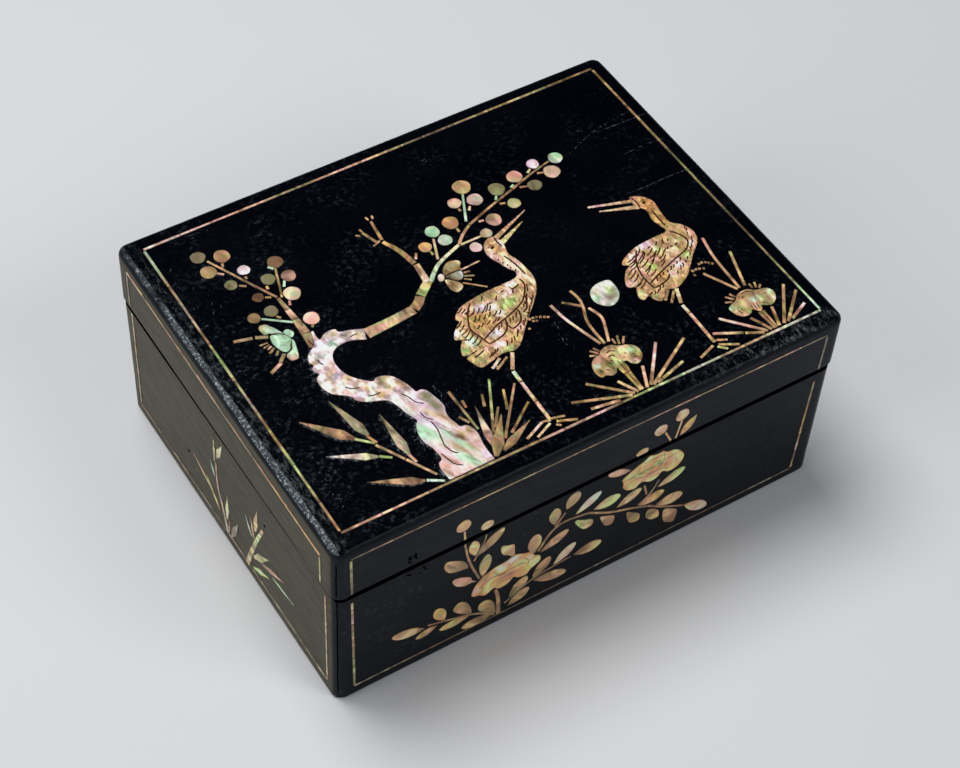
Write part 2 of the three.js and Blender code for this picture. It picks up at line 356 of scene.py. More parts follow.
def make_lacquer():
    """Black lacquer, led by the marks on the mesh.

    The top is glossy and specked, the sides are streaked and satin, and the left end is faded to olive.
    """
    n = Nodes("black_lacquer")
    place = n.place()
    side = n.value("side")

    cloud = n.noise(place, 26, 3)
    top_colour = n.mix(n.step(cloud, 0.35, 0.75), *TOP_BLACK)
    streak = n.noise(n.stretch(place, (36, 36, 300)), 1, 4, 0.65, 0.5)
    fine_streak = n.noise(n.stretch(place, (170, 170, 1300)), 1, 3, 0.65)
    grain = n.plus(n.times(streak, 0.5), n.times(fine_streak, 0.5))
    dark_side = n.mix(n.step(grain, 0.35, 0.68), *DARK_SIDE)
    olive_side = n.mix(n.step(grain, 0.32, 0.7), *OLIVE_SIDE)
    side_colour = n.mix(n.value("faded"), dark_side, olive_side)
    colour = n.mix(side, top_colour, side_colour)

    # Specks: a haze and flecks, in patches
    patch = n.step(n.noise(place, 46, 3, 0.6), 0.42, 0.68)
    haze = n.step(n.noise(place, 420, 4, 0.72), 0.50, 0.78)
    fleck = n.step(n.noise(place, 620, 3, 0.75), 0.68, 0.76)
    haze = n.times(haze, n.line(patch, 0.55, 0.05))
    fleck = n.times(fleck, n.line(patch, 0.8, 0.06))
    less_on_sides = n.line(side, -0.85, 1.0)
    speck = n.times(n.math("MAXIMUM", haze, fleck), n.times(n.value("scuff"), less_on_sides))
    colour = n.mix(speck, colour, SPECKED)

    # Wear: dull where the lacquer is rubbed, pale where it is gone, streaked where it is brushed. Along the
    # top's left edge and the rim's edge the dull and pale colour is also painted sheen and highlight
    broad = n.noise(n.stretch(place, (120, 60, 120)), 1, 3, 0.65)
    worn = n.step(n.plus(n.times(broad, 1.6), n.value("wear")), 1.1, 1.7)
    flake = n.line(worn, 0.34, n.noise(n.stretch(place, (800, 1000, 800)), 1, 5, 0.8))
    rubbed_and_sheen = n.step(flake, 0.6, 0.86)
    bare = n.step(flake, 0.84, 1.02)
    colour = n.mix(n.times(rubbed_and_sheen, worn), colour, RUBBED_AND_SHEEN)
    colour = n.mix(n.times(bare, worn), colour, BARE_AND_HIGHLIGHT)
    strokes = n.noise(n.stretch(place, (520, 230, 520)), 1, 5, 0.78)
    strokes = n.times(n.step(strokes, 0.47, 0.76), n.value("brushed"))
    colour = n.mix(strokes, colour, BRUSHED)

    rough = n.plus(0.17, n.times(side, 0.14))
    rough = n.plus(rough, n.times(n.noise(place, 70, 4), 0.1))
    dull = n.math("MAXIMUM", rubbed_and_sheen, n.math("MAXIMUM", speck, strokes))
    rough = n.plus(rough, n.times(dull, 0.3))
    n.bump(n.plus(n.times(grain, side), n.times(n.noise(place, 380, 3), 0.4)), 0.25, 0.12 * MM)
    return n.finish(colour, rough, Specular_IOR_Level=LACQUER_SHINE)


def make_nacre(name, hue_size, hue_amount, fold_size, detail, rough, spread=1.0, painted_lumps=False):
    """Mother-of-pearl: the tint of each piece, with the painted highlight and shade of silky folds, clouded
    with pink, green and gold.

    A wide spread makes the folds softer. One with painted lumps is the trunk's: painted lumps of highlight
    and shade at the top, bands of painted sheen below.
    """
    n = Nodes(name)
    place = n.vector("ADD", n.place(), n.vector("SCALE", (0.31, 0.17, 0.23), n.value("seed")))

    hue = n.ramp(
        n.noise(place, 1 / (hue_size * MM), detail, 0.5, 0.7),
        (0.30, 0.72, 1.08, 0.80),
        (0.39, 1.08, 1.04, 0.70),
        (0.48, 1.0, 0.98, 0.94),
        (0.56, 1.18, 0.84, 0.92),
        (0.63, 1.04, 0.98, 0.90),
        (0.70, 0.80, 1.08, 0.82),
    )
    colour = n.mix(hue_amount, n.tint("tint"), hue, "MULTIPLY")
    fold = n.noise(n.stretch(place, (1, 0.55, 1)), 1 / (fold_size * MM), detail, 0.55, 0.9)
    # Painted highlight and shade: the folds take the tint down to under half and up to twice as bright, like
    # silk
    light = n.ramp(
        fold,
        (0.49 - 0.17 * spread, 0.44, 0.38, 0.31),
        (0.49 - 0.06 * spread, 0.86, 0.82, 0.76),
        (0.49 + 0.04 * spread, 1.10, 1.08, 1.05),
        (0.49 + 0.17 * spread, 2.00, 1.98, 1.95),
    )
    colour = n.mix(1.0, colour, light, "MULTIPLY")
    if painted_lumps:
        colour = paint_lumps_and_sheen(n, place, colour)
    # Painted shade at each plate's rim, and fine streaks of painted sheen across the shell
    lines = n.noise(n.stretch(place, (260, 1100, 700)), 1, 2, 0.5, 0.6)
    rim = n.step(n.value("rim"), 0.0, 1.0, RIM_PAINTED_SHADE, 1.0)
    shaded = n.vector("SCALE", colour, n.times(rim, n.line(lines, 0.44, 0.78)))
    colour = n.vector("MINIMUM", shaded, (0.96, 0.96, 0.96))
    n.bump(fold, 0.2, 0.2 * MM)
    return n.finish(colour, n.plus(rough, n.times(fold, 0.2)), Coat_Weight=0.25, Coat_Roughness=0.18)


def paint_lumps_and_sheen(n, place, colour):
    """The trunk's colour with painted highlight and shade of lumps on its upper part and slanting bands of
    painted sheen on its lower part.
    """
    axes = n.add("ShaderNodeSeparateXYZ")
    n.put(axes.inputs[0], n.place())
    upper = n.step(axes.outputs["Y"], PAINTED_LUMPS_FROM, PAINTED_LUMPS_FULL)
    # Painted highlight and shade of lumps: the colour goes from about half as bright to half as bright again
    lumps = n.noise(n.stretch(place, (1, 0.8, 1)), 300, 1.5)
    swell = n.math("SUBTRACT", n.step(lumps, 0.36, 0.64, 0.58, 1.5), 1.0)
    colour = n.vector("SCALE", colour, n.line(swell, upper, 1.0))
    turned = n.add("ShaderNodeVectorRotate", rotation_type="Z_AXIS")
    n.put(turned.inputs["Vector"], n.place())
    n.put(turned.inputs["Angle"], -TRUNK_SLANT)
    # Slanting bands of painted sheen, lighter, darker and tinted, on the trunk's lower part
    ripple = n.ramp(
        n.noise(n.stretch(turned.outputs[0], (480, 90, 480)), 1, 3, 0.6),
        (0.34, 0.66, 0.58, 0.50),
        (0.44, 1.06, 0.98, 0.98),
        (0.51, 0.98, 1.14, 1.06),
        (0.60, 1.16, 0.98, 1.06),
        (0.70, 1.30, 1.26, 1.20),
    )
    lower = n.math("SUBTRACT", 1.0, n.times(upper, 0.55))
    return n.mix(lower, colour, n.mix(1.0, colour, ripple, "MULTIPLY"))


def make_filling():
    """Brown lacquer that fills the cuts in the shell."""
    n = Nodes("brown_filling")
    colour = n.mix(n.noise(n.place(), 500, 3), srgb(48, 25, 16), srgb(84, 47, 30))
    return n.finish(colour, n.varied(0.4, 0.2, 300), Specular_IOR_Level=0.06)


def make_scratch():
    """Bare scratches and scuffs in the lacquer, broken up along their length."""
    n = Nodes("scratched_lacquer")
    broken = n.step(n.noise(n.place(), 520, 4, 0.75), 0.46, 0.72)
    colour = n.mix(broken, srgb(3, 4, 9), srgb(112, 122, 130))
    return n.finish(colour, n.varied(0.17, 0.1, 70), Specular_IOR_Level=LACQUER_SHINE)


def make_shadow_and_holes():
    """Painted shadow for the seam and the inside, and the dark of cracks, knots and nail holes."""
    n = Nodes("painted_shadow_and_holes")
    colour = n.mix(n.noise(n.place(), 300, 2), srgb(1, 1, 2), srgb(6, 6, 8))
    return n.finish(colour, n.varied(0.6, 0.2, 200), Specular_IOR_Level=0.0)


def make_ground():
    n = Nodes("pale_floor")
    colour = n.mix(n.noise(n.place(), 3, 2), srgb(222, 223, 226), srgb(228, 229, 231))
    return n.finish(colour, n.varied(0.7, 0.1, 40))


LACQUER = make_lacquer()
NACRE = make_nacre("nacre", 6.5, 0.8, 4.6, 1.2, 0.24)
FEATHER_NACRE = make_nacre("feather_nacre", 4.0, 0.9, 2.3, 2.2, 0.22)
SATIN_NACRE = make_nacre("satin_nacre", 9.0, 0.8, 7.5, 1.0, 0.24, 1.5)
PALE_NACRE = make_nacre("pale_nacre", 9.0, 0.45, 4.2, 2.2, 0.2, 1.2)
TRUNK_NACRE = make_nacre("trunk_nacre", 9.0, 0.3, 4.6, 2.0, 0.2, 1.9, True)
FILLING = make_filling()
SCRATCH = make_scratch()
SHADOW_AND_HOLES = make_shadow_and_holes()
GROUND = make_ground()


# Meshes

def new_object(name, points, faces, material):
    mesh = bpy.data.meshes.new(name)
    mesh.from_pydata([Vector(point) * MM for point in points], [], faces)
    mesh.materials.append(material)
    piece = bpy.data.objects.new(name, mesh)
    bpy.context.scene.collection.objects.link(piece)
    return piece


def belongs(piece, slot, *nodes):
    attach(piece, "root")
    if nodes:
        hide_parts(*nodes)


def add_marks(piece, marks):
    """Numbers for the shader to read at each vertex."""
    for title, values in marks.items():
        mark = piece.data.attributes.new(title, "FLOAT", "POINT")
        mark.data.foreach_set("value", values)


def smooth_by_angle(mesh, degrees):
    form = bmesh.new()
    form.from_mesh(mesh)
    bmesh.ops.recalc_face_normals(form, faces=form.faces)
    for face in form.faces:
        face.smooth = True
    for edge in form.edges:
        edge.smooth = edge.calc_face_angle(0) < math.radians(degrees)
    form.to_mesh(mesh)
    form.free()


def bridge(first, count):
    """Four-cornered faces between a ring of points and the next."""
    for index in range(count):
        following = (index + 1) % count
        yield (first + index, first + following, first + count + following, first + count + index)


# The lacquered body and lid: rings around the box, from the inside over the rim to the outside

def ring(half, inset, height):
    """A rectangle with round corners, with the same number of points at every inset."""
    radius = max(CORNER_RADIUS - inset, INSIDE_CORNER_RADIUS)
    reach = Vector((half.x - inset - radius, half.y - inset - radius))
    signs = ((1, 1), (-1, 1), (-1, -1), (1, -1))

    def on_corner(corner, quarters):
        angle = quarters * math.pi / 2
        x, y = signs[corner % 4]
        across = x * reach.x + radius * math.cos(angle)
        along = y * reach.y + radius * math.sin(angle)
        return Vector((across, along, height))

    points = []
    for quarter in range(4):
        points += [on_corner(quarter, quarter + step / CORNER_STEPS) for step in range(CORNER_STEPS + 1)]
        steps = LONG_STEPS if quarter % 2 == 0 else SHORT_STEPS
        start = points[-1]
        goal = on_corner(quarter + 1, quarter + 1)
        points += [start.lerp(goal, step / steps) for step in range(1, steps)]
    return points


def quarter_round(height, radius, down, inward):
    """Profile points of a rounded edge: from the outside face to the flat above or below it."""
    points = []
    for step in range(ROUND_STEPS + 1):
        angle = step / ROUND_STEPS * math.pi / 2
        drop = radius * (1 - math.sin(angle))
        points.append((radius * (1 - math.cos(angle)), height + (drop if down else -drop)))
    return points if inward else points[::-1]


def uneven(point):
    """How far hand-finished lacquer lies below its true face."""
    return 0.05 * (1 + noise.noise(point * 0.035)) + 0.03 * (1 + noise.noise(point * 0.16))


def chip(point, wear):
    """Dents along worn edges."""
    return max(0.0, noise.noise(point * 0.22) - 0.32) * 1.1 * wear


def fade(value, none, full):
    """0 at one value, 1 at another, and even between them."""
    return max(0.0, min(1.0, (value - none) / (full - none)))


def by_hand(point, half, inset, height, wear):
    """A point of the outside, moved in by the unevenness and dents of its place."""
    depth = uneven(point) + chip(point, wear)
    if inset < TOP_EDGE_RADIUS:
        across, along = point.x / half.x, point.y / half.y
        out_x = math.copysign(abs(across) ** SQUARE_ON, across)
        out_y = math.copysign(abs(along) ** SQUARE_ON, along)
        point = point - Vector((out_x, out_y, 0)) * depth
    if inset > 0 and height > RIM:
        point = point - Vector((0, 0, 1)) * depth * min(1, inset / TOP_EDGE_RADIUS)
    return point


def lacquer_marks(point, half, inset, height, wear, outside):
    """What the lacquer shader reads at a point."""
    from_left = point.x + half.x
    from_front = point.y + half.y
    far = max(0.0, (point.y + 10) / 105)
    on_lid = height > RIM
    on_top = on_lid and inset >= TOP_EDGE_RADIUS * (0.25 if from_front < 3 else 0.6)
    turned_up = height - (TOP - TOP_EDGE_RADIUS)
    faded = 0.0
    if from_left < 1.2 and from_front > 3.4:
        faded = 1.0 if turned_up < 0.1 else 0.4 if turned_up < 0.8 else 0.0
    # The top is rubbed along its left edge, in a band that is also a painted sheen, and brushed inside that
    # and at the right of its front edge
    rubbed_and_sheen_left = fade(abs(from_left - 2.2), 1.87, 0.77) * (0.82 - 0.3 * far)
    on_edge = on_lid and inset >= TOP_EDGE_RADIUS * 0.2
    brushed_left = fade(from_left, 9, 7.5) * (0.75 - 0.45 * far)
    brushed_front = fade(from_front, 8.6, 6.6) * fade(point.x, 30, 90)
    return {
        "wear": min(1.0, wear + (rubbed_and_sheen_left * outside if on_edge else 0.0)),
        # The box's walls are darker than the lid's, as painted shade
        "side": 0.0 if on_top else 1.0 if on_lid else BOX_SIDE_WITH_PAINTED_SHADE + (1 - BOX_SIDE_WITH_PAINTED_SHADE) * faded,
        "faded": faded,
        "scuff": 0.22 + 0.8 * fade(from_left, 142.5, -47.5) + 0.6 * fade(from_front, 90, -60),
        "brushed": max(brushed_front * 0.8, brushed_left * 0.7) if on_top else 0.0,
    }


def in_painted_shadow(point, half, height, outside):
    """Whether a point is inside, or in the black line of the seam: places that take painted shadow."""
    below = OTHER_SEAM_SHADOW
    if point.y + half.y < 3:
        below = FRONT_SEAM_SHADOW
    elif point.x + half.x < 3:
        below = LEFT_SEAM_SHADOW * (1 + point.y / half.y)
    return not outside or RIM - below < height < LID_FOOT + 0.2


def make_lacquered(name, half, profile, nodes):
    """A hollow body from a profile of (inset, height, wear, outside)."""
    points = []
    for inset, height, wear, outside in profile:
        for point in ring(half, inset, height):
            if outside:
                point = by_hand(point, half, inset, height, wear)
            if RIM < height < LID_FOOT + 1 and point.x < SAG_REACH - half.x:
                point = point - Vector((0, 0, LEFT_SAG * (0.6 - 0.4 * point.y / half.y)))
            points.append(point)
    count = len(points) // len(profile)
    faces = [tuple(range(count))]
    for level in range(len(profile) - 1):
        faces += bridge(level * count, count)
    faces.append(tuple(range(len(points) - count, len(points))))
    piece = new_object(name, points, faces, LACQUER)
    smooth_by_angle(piece.data, 40)

    marks = {}
    dark = []
    for number, vertex in enumerate(piece.data.vertices):
        inset, height, wear, outside = profile[number // count]
        point = vertex.co / MM
        for title, value in lacquer_marks(point, half, inset, height, wear, outside).items():
            marks.setdefault(title, []).append(value)
        dark.append(in_painted_shadow(point, half, height, outside))
    add_marks(piece, marks)
    # Faces inside and in the seam are painted black as shadow
    piece.data.materials.append(SHADOW_AND_HOLES)
    for face in piece.data.polygons:
        face.material_index = all(dark[vertex] for vertex in face.vertices)
    belongs(piece, "lacquer", *nodes)


def rows(points, wear, outside=1):
    """Profile rows from points of (inset, height)."""
    return [(inset, height, wear, outside) for inset, height in points]


def make_box_and_lid():
    profile = rows([(WALL, CEILING), (WALL, LIP_TOP), (REBATE, LIP_TOP), (REBATE, LID_FOOT)], 0.0, 0)
    profile += rows(quarter_round(LID_FOOT, RIM_EDGE_RADIUS, True, False), LID_FOOT_WEAR)
    profile += rows([(0, LID_FOOT + rise) for rise in LID_RISES], WALL_WEAR)
    profile += rows(quarter_round(TOP, TOP_EDGE_RADIUS, False, True), TOP_EDGE_WEAR)
    profile += rows([(inset, TOP) for inset in TOP_INSETS], 0.0)
    make_lacquered("lid_lacquer", LID_HALF, profile, ["lid_top"] + [f"lid_{side}_wall" for side in SIDES])

    profile = rows([(WALL, FLOOR_OF_BOX), (WALL, LIP_TOP), (REBATE, LIP_TOP), (REBATE, RIM)], 0.0, 0)
    # The rim's rounded edge: wear that also paints its thin highlight line
    profile += rows(quarter_round(RIM, RIM_EDGE_RADIUS, False, False), RIM_WEAR_AND_HIGHLIGHT)
    profile += rows([(0, RIM - drop) for drop in RIM_DROPS], WALL_WEAR)
    profile += rows([(0, height) for height in BOX_HEIGHTS], WALL_WEAR)
    profile += rows(quarter_round(0, FOOT_EDGE_RADIUS, True, True), FOOT_WEAR)
    profile += rows([(inset, 0) for inset in FOOT_INSETS], 0.0)
    make_lacquered("box_lacquer", BOX_HALF, profile, ["box_bottom"] + [f"box_{side}_wall" for side in SIDES])


# Flat outlines on a face, u to the right and v up

def hermite(start, end, leave, arrive, part):
    square = part * part
    cube = square * part
    return (start * (2 * cube - 3 * square + 1) + leave * (cube - 2 * square + part)
            + end * (3 * square - 2 * cube) + arrive * (cube - square))


def curve(points, steps=5, closed=False):
    """A smooth line through points of two or three numbers."""
    points = [Vector(point).to_3d() if len(point) == 2 else Vector(point) for point in points]
    if len(points) == 2:
        return points
    count = len(points)
    slopes = []
    for index in range(count):
        before = points[index - 1] if closed or index else points[index]
        after = points[(index + 1) % count] if closed or index < count - 1 else points[index]
        slopes.append((after - before) / 2)
    line = []
    for index in range(count if closed else count - 1):
        following = (index + 1) % count
        stretch = (points[index], points[following], slopes[index], slopes[following])
        line += [hermite(*stretch, step / steps) for step in range(steps)]
    if not closed:
        line.append(points[-1])
    return line


def outline(*points):
    """A closed smooth outline."""
    return [point.to_2d() for point in curve(points, 4, True)]


def ribbon(line):
    """The outline of a line of (u, v, width)."""
    left = []
    right = []
    for index, point in enumerate(line):
        way = line[min(index + 1, len(line) - 1)] - line[max(index - 1, 0)]
        across = Vector((-way.y, way.x)).normalized() * point.z / 2
        left.append(point.to_2d() + across)
        right.append(point.to_2d() - across)
    return right + left[::-1]


def band(*points):
    """A band along a smooth line through points of (u, v, width)."""
    return ribbon(curve(points))


def stick(start, end, width=TWIG, end_width=None):
    return band((*start, width), (*end, width if end_width is None else end_width))


def oval(u, v, radius_u, radius_v=None, turn=0.0, sides=28):
    """A hand-cut round: a little out of true."""
    radius_v = radius_u if radius_v is None else radius_v
    phase = DRAW.uniform(0, 6.3)
    points = []
    for side in range(sides):
        angle = 2 * math.pi * side / sides
        wobble = 1 + 0.025 * math.sin(3 * angle + phase) + 0.018 * math.sin(5 * angle + 2 * phase)
        point = Vector((radius_u * wobble * math.cos(angle), radius_v * wobble * math.sin(angle)))
        point.rotate(Matrix.Rotation(turn, 2))
        points.append(Vector((u, v)) + point)
    return points


def leaf(tip, base, width, widest, full=0.85, foot=0.85, steps=14):
    """A leaf, widest part of the way down. Small values of full and foot make its tip and its base round."""
    tip = Vector(tip)
    base = Vector(base)
    across = Vector((tip.y - base.y, base.x - tip.x)).normalized() * width / 2
    power = math.log(0.5) / math.log(widest)
    left = []
    right = []
    for step in range(steps + 1):
        part = 0.5 - 0.5 * math.cos(math.pi * step / steps)
        swell = 0.0
        if 0 < step < steps:
            swell = math.sin(math.pi * part ** power) ** (full + (foot - full) * part)
        middle = tip.lerp(base, part)
        left.append(middle + across * swell)
        right.append(middle - across * swell)
    shape = left + right[::-1]
    return [point for index, point in enumerate(shape) if (point - shape[index - 1]).length > 1e-4]


def blade(tip, base, width, widest=0.76):
    """A leaf with straight sides: a point, a narrow neck, two shoulders and a narrow foot."""
    tip = Vector(tip)
    base = Vector(base)
    across = Vector((tip.y - base.y, base.x - tip.x)).normalized() * width / 2
    parts = ((0, 0.08), (0.3, 0.46), (widest, 1), (1, 0.32))
    left = [tip.lerp(base, down) + across * wide for down, wide in parts]
    right = [tip.lerp(base, down) - across * wide for down, wide in parts]
    return left + right[::-1]


def cut(shape, low=None, high=None):
    """The part of an outline between two heights."""
    for level, keep in ((low, 1), (high, -1)):
        if level is None:
            continue
        kept = []
        for index, point in enumerate(shape):
            before = shape[index - 1]
            inside = (point.y - level) * keep >= 0
            was_inside = (before.y - level) * keep >= 0
            if inside != was_inside:
                kept.append(before.lerp(point, (level - before.y) / (point.y - before.y)))
            if inside:
                kept.append(point)
        shape = kept
    return shape


def within(point, shape):
    """Whether a point lies inside an outline."""
    inside = False
    for index, corner in enumerate(shape):
        before = shape[index - 1]
        if (corner.y > point.y) != (before.y > point.y):
            crossing = corner.x + (point.y - corner.y) * (before.x - corner.x) / (before.y - corner.y)
            inside ^= point.x < crossing
    return inside


class Face:
    """A face of the box to lay shell on."""

    def __init__(self, across, up, distance):
        self.across = Vector(across)
        self.up = Vector(up)
        self.out = self.across.cross(self.up)
        self.distance = distance

    def place(self, point, height):
        return self.across * point.x + self.up * point.y + self.out * (self.distance + height)


TOP_FACE = Face((1, 0, 0), (0, 1, 0), TOP)
SIDE_FACES = {
    (side, part): Face(across, (0, 0, 1), half[axis])
    for part, half in (("lid", LID_HALF), ("box", BOX_HALF))
    for side, across, axis in (("front", (1, 0, 0), 1), ("back", (-1, 0, 0), 1),
                               ("left", (0, -1, 0), 0), ("right", (0, 1, 0), 0))
}

# The rounded upright edge between the left end and the front
CORNER_FACES = {
    part: Face(Vector((1, -1, 0)).normalized(), (0, 0, 1),
               (half.x + half.y - 2 * CORNER_RADIUS) / math.sqrt(2) + CORNER_RADIUS)
    for part, half in (("lid", LID_HALF), ("box", BOX_HALF))
}


def shade_at(point, shades, along, spots, slant):
    """The colour of a plate at a point: its run of shades, with the spots over it."""
    colours = [Vector(SHADES[shade]) for shade in shades]
    colour = colours[0]
    if len(colours) > 1:
        start, end = Vector(along[0]), Vector(along[1])
        way = end - start
        part = max(0.0, min(0.999, (point - start).dot(way) / way.length_squared)) * (len(colours) - 1)
        index = int(part)
        colour = colours[index].lerp(colours[index + 1], part - index)
    for u, v, reach_u, reach_v, name in spots:
        way = Vector((point.x - u, point.y - v))
        way.rotate(Matrix.Rotation(-slant, 2))
        away = (way.x / reach_u) ** 2 + (way.y / reach_v) ** 2
        colour = colour.lerp(Vector(SHADES[name]), math.exp(-away ** SPOT_POWER))
    return colour


class Inlay:
    """Thin plates on the faces, gathered into one object."""

    def __init__(self, bright=1.0):
        self.bright = bright
        self.points = []
        self.faces = []
        self.tints = []
        self.marks = {"seed": [], "rim": []}
        self.plates = 0

    def add(self, place, colour, seed, rim):
        self.points.append(place)
        self.tints += [level * self.bright for level in colour]
        self.marks["seed"].append(seed)
        self.marks["rim"].append(rim)

    def lay(self, face, shape, *shades, lift=0.0, along=None, seed=None, spots=(), slant=0.0):
        """One plate. Several shades run into each other from the first to the second point of along.

        Spots are soft ovals of another shade, turned by slant: place, reach across and up, shade.
        """
        if len(shape) < 3:
            return
        area = sum(shape[i - 1].x * p.y - p.x * shape[i - 1].y for i, p in enumerate(shape)) / 2
        if area < 0:
            shape = shape[::-1]
        count = len(shape)
        first = len(self.points)
        seed = DRAW.random() if seed is None else seed
        self.plates += 1
        top = STANDS + lift + LEVEL * (self.plates % LEVELS)
        girth = sum((p - shape[i - 1]).length for i, p in enumerate(shape))
        rim = min(RIM_WIDTH, RIM_SHARE * abs(area) / girth)
        ways = []
        for index, point in enumerate(shape):
            before = point - shape[index - 1]
            after = shape[(index + 1) % count] - point
            turn = before.normalized() + after.normalized()
            inward = Vector((-turn.y, turn.x))
            length = max(inward.length, SHARPEST)
            ways.append(inward * 2 / (length * length))
        edge = [point + way * SHELL_BEVEL for point, way in zip(shape, ways)]
        inner = [point + way * (SHELL_BEVEL + rim) for point, way in zip(shape, ways)]

        def tint(point):
            return shade_at(point, shades, along, spots, slant)

        rings = ((shape, -SUNK, 0), (shape, top - SHELL_BEVEL, 0), (edge, top, 0), (inner, top, 1))
        for outer, height, past_rim in rings:
            for point in outer:
                self.add(face.place(point, height), tint(point), seed, past_rim)
        for level in range(len(rings) - 1):
            self.faces += bridge(first + level * count, count)
        upper = first + 3 * count
        for corners in tessellate_polygon([[point.to_3d() for point in shape]]):
            a, b, c = (shape[corner] for corner in corners)
            if (b - a).cross(c - a) < 0:
                corners = corners[::-1]
            self.faces.append(tuple(first + corner for corner in corners[::-1]))
            if not spots:
                self.faces.append(tuple(upper + corner for corner in corners))
        if spots:
            self.fill(face, inner, upper, top, tint, seed)

    def fill(self, face, edge, first, top, tint, seed):
        """The upper face of a plate, with points inside it to carry the colours."""
        us = [point.x for point in edge]
        vs = [point.y for point in edge]
        flat = list(edge)
        for across in range(int((max(us) - min(us)) / FIELD)):
            for up in range(int((max(vs) - min(vs)) / FIELD)):
                point = Vector((min(us) + FIELD * (across + 0.5 * (up % 2)), min(vs) + FIELD * (up + 0.5)))
                clear = min((point - corner).length for corner in edge) > FIELD * FIELD_CLEAR
                if clear and within(point, edge):
                    flat.append(point)
        places, _, triangles, origins, _, _ = delaunay_2d_cdt(flat, [], [list(range(len(edge)))], 1, 1e-5)
        numbers = []
        for point, origin in zip(places, origins):
            if origin and origin[0] < len(edge):
                numbers.append(first + origin[0])
                continue
            numbers.append(len(self.points))
            self.add(face.place(point, top), tint(point), seed, 1)
        self.faces += [tuple(numbers[corner] for corner in triangle) for triangle in triangles]

    def bar(self, face, start, end, widths, *shades):
        """A straight strip, with its shades along it."""
        self.lay(face, stick(start, end, *widths), *shades, along=(start, end))

    def bough(self, face, points, *shades, lift=0.0):
        """A curved band through points of (u, v, width), with its shades along it."""
        self.lay(face, band(*points), *shades, lift=lift, along=(points[0][:2], points[-1][:2]))

    def finish(self, name, material, slot, *nodes):
        piece = new_object(name, self.points, self.faces, material)
        tint = piece.data.attributes.new("tint", "FLOAT_COLOR", "POINT")
        tint.data.foreach_set("color", self.tints)
        add_marks(piece, self.marks)
        belongs(piece, slot, *nodes)


# Border strips, laid from short lengths end to end

STRIP_SHADES = (
    "tan", "brown", "olive", "brown", "dull", "gold", "dull", "green", "brown", "olive", "rose",
    "brown",
)
FOOT_SHADES = ("dull", "grey", "dull", "brown")
THIN_SHADES = ("brown", "pink", "dull", "tan", "brown", "orange", "dull")
# The strips on the top, from left to right and from front to back
BORDER_SHADES = {
    "front": ("brown", "pink", "brown", "tan", "brown", "olive", "brown", "brown", "brown", "rose",
             "brown", "green", "tan", "silver", "lilac", "tan", "rose", "tan", "silver"),
    "back": ("rose", "tan", "pink", "olive", "brown", "pink", "olive", "dull", "tan", "brown", "olive",
             "brown"),
    "left": ("orange", "brown", "olive", "green", "pink", "gold", "brown", "grey", "olive", "green",
             "brown", "olive", "green", "grey", "brown", "green", "mint"),
    "right": ("mint", "green", "olive", "dull", "tan", "dull", "brown", "olive", "dull", "pink", "tan",
             "dull", "brown", "tan"),
}


def strip_ends(node):
    """The middles of the two ends of a CAD strip."""
    low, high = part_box(node)
    size = high - low
    axis = max(range(3), key=lambda index: size[index])
    points = [vertex.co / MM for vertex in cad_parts[node].data.vertices]
    ends = []
    for limit in (low[axis] / MM, high[axis] / MM):
        near = [point for point in points if abs(point[axis] - limit) < STRIP * 0.3]
        ends.append(sum(near, Vector()) / len(near))
    return ends


def lay_strip(inlay, face, node, wide=STRIP, shades=STRIP_SHADES, in_order=None):
    """A strip of short lengths, in shades drawn by chance or in the order given."""
    start, end = (Vector((point.dot(face.across), point.dot(face.up))) for point in strip_ends(node))
    length = (end - start).length
    gone = 0.0
    while gone < length - 1:
        piece = min(DRAW.uniform(STRIP_SHORT, STRIP_LONG), length - gone)
        if length - gone - piece < STRIP_LEAST:
            piece = length - gone
        first = start.lerp(end, gone / length)
        last = start.lerp(end, (gone + piece - STRIP_GAP) / length)
        width = wide * DRAW.uniform(0.88, 1.08)
        pair = [DRAW.choice(shades), DRAW.choice(shades)]
        if in_order:
            pair = [in_order[int(part / length * len(in_order) * 0.999)] for part in (gone, gone + piece)]
        inlay.bar(face, first, last, (width,), *pair)
        gone += piece


def make_borders():
    inlay = Inlay()
    nodes = [f"top_border_{side}" for side in BORDER_SHADES]
    for node, shades in zip(nodes, BORDER_SHADES.values()):
        lay_strip(inlay, TOP_FACE, node, in_order=shades)
    inlay.finish("top_border", NACRE, "nacre", *nodes)
    for side in ("front", "left", "back", "right"):
        inlay = Inlay(LEFT_PAINTED_LIGHT if side == "left" else 1.0)
        nodes = []
        for part, places in (("lid", ("top", "left", "right")), ("box", ("left", "right", "foot"))):
            for place in places:
                node = f"{side}_{part}_strip_{place}"
                shades = {"foot": FOOT_SHADES, "top": THIN_SHADES}.get(place, STRIP_SHADES)
                thin = place == "foot" or (place == "top" and side != "left")
                lay_strip(inlay, SIDE_FACES[side, part], node, THIN_STRIP if thin else STRIP, shades)
                nodes.append(node)
        inlay.finish(f"{side}_frame", NACRE, "nacre", *nodes)


# The plum tree on the top: outlines, cracks, and spots of place, reach across and up, and shade

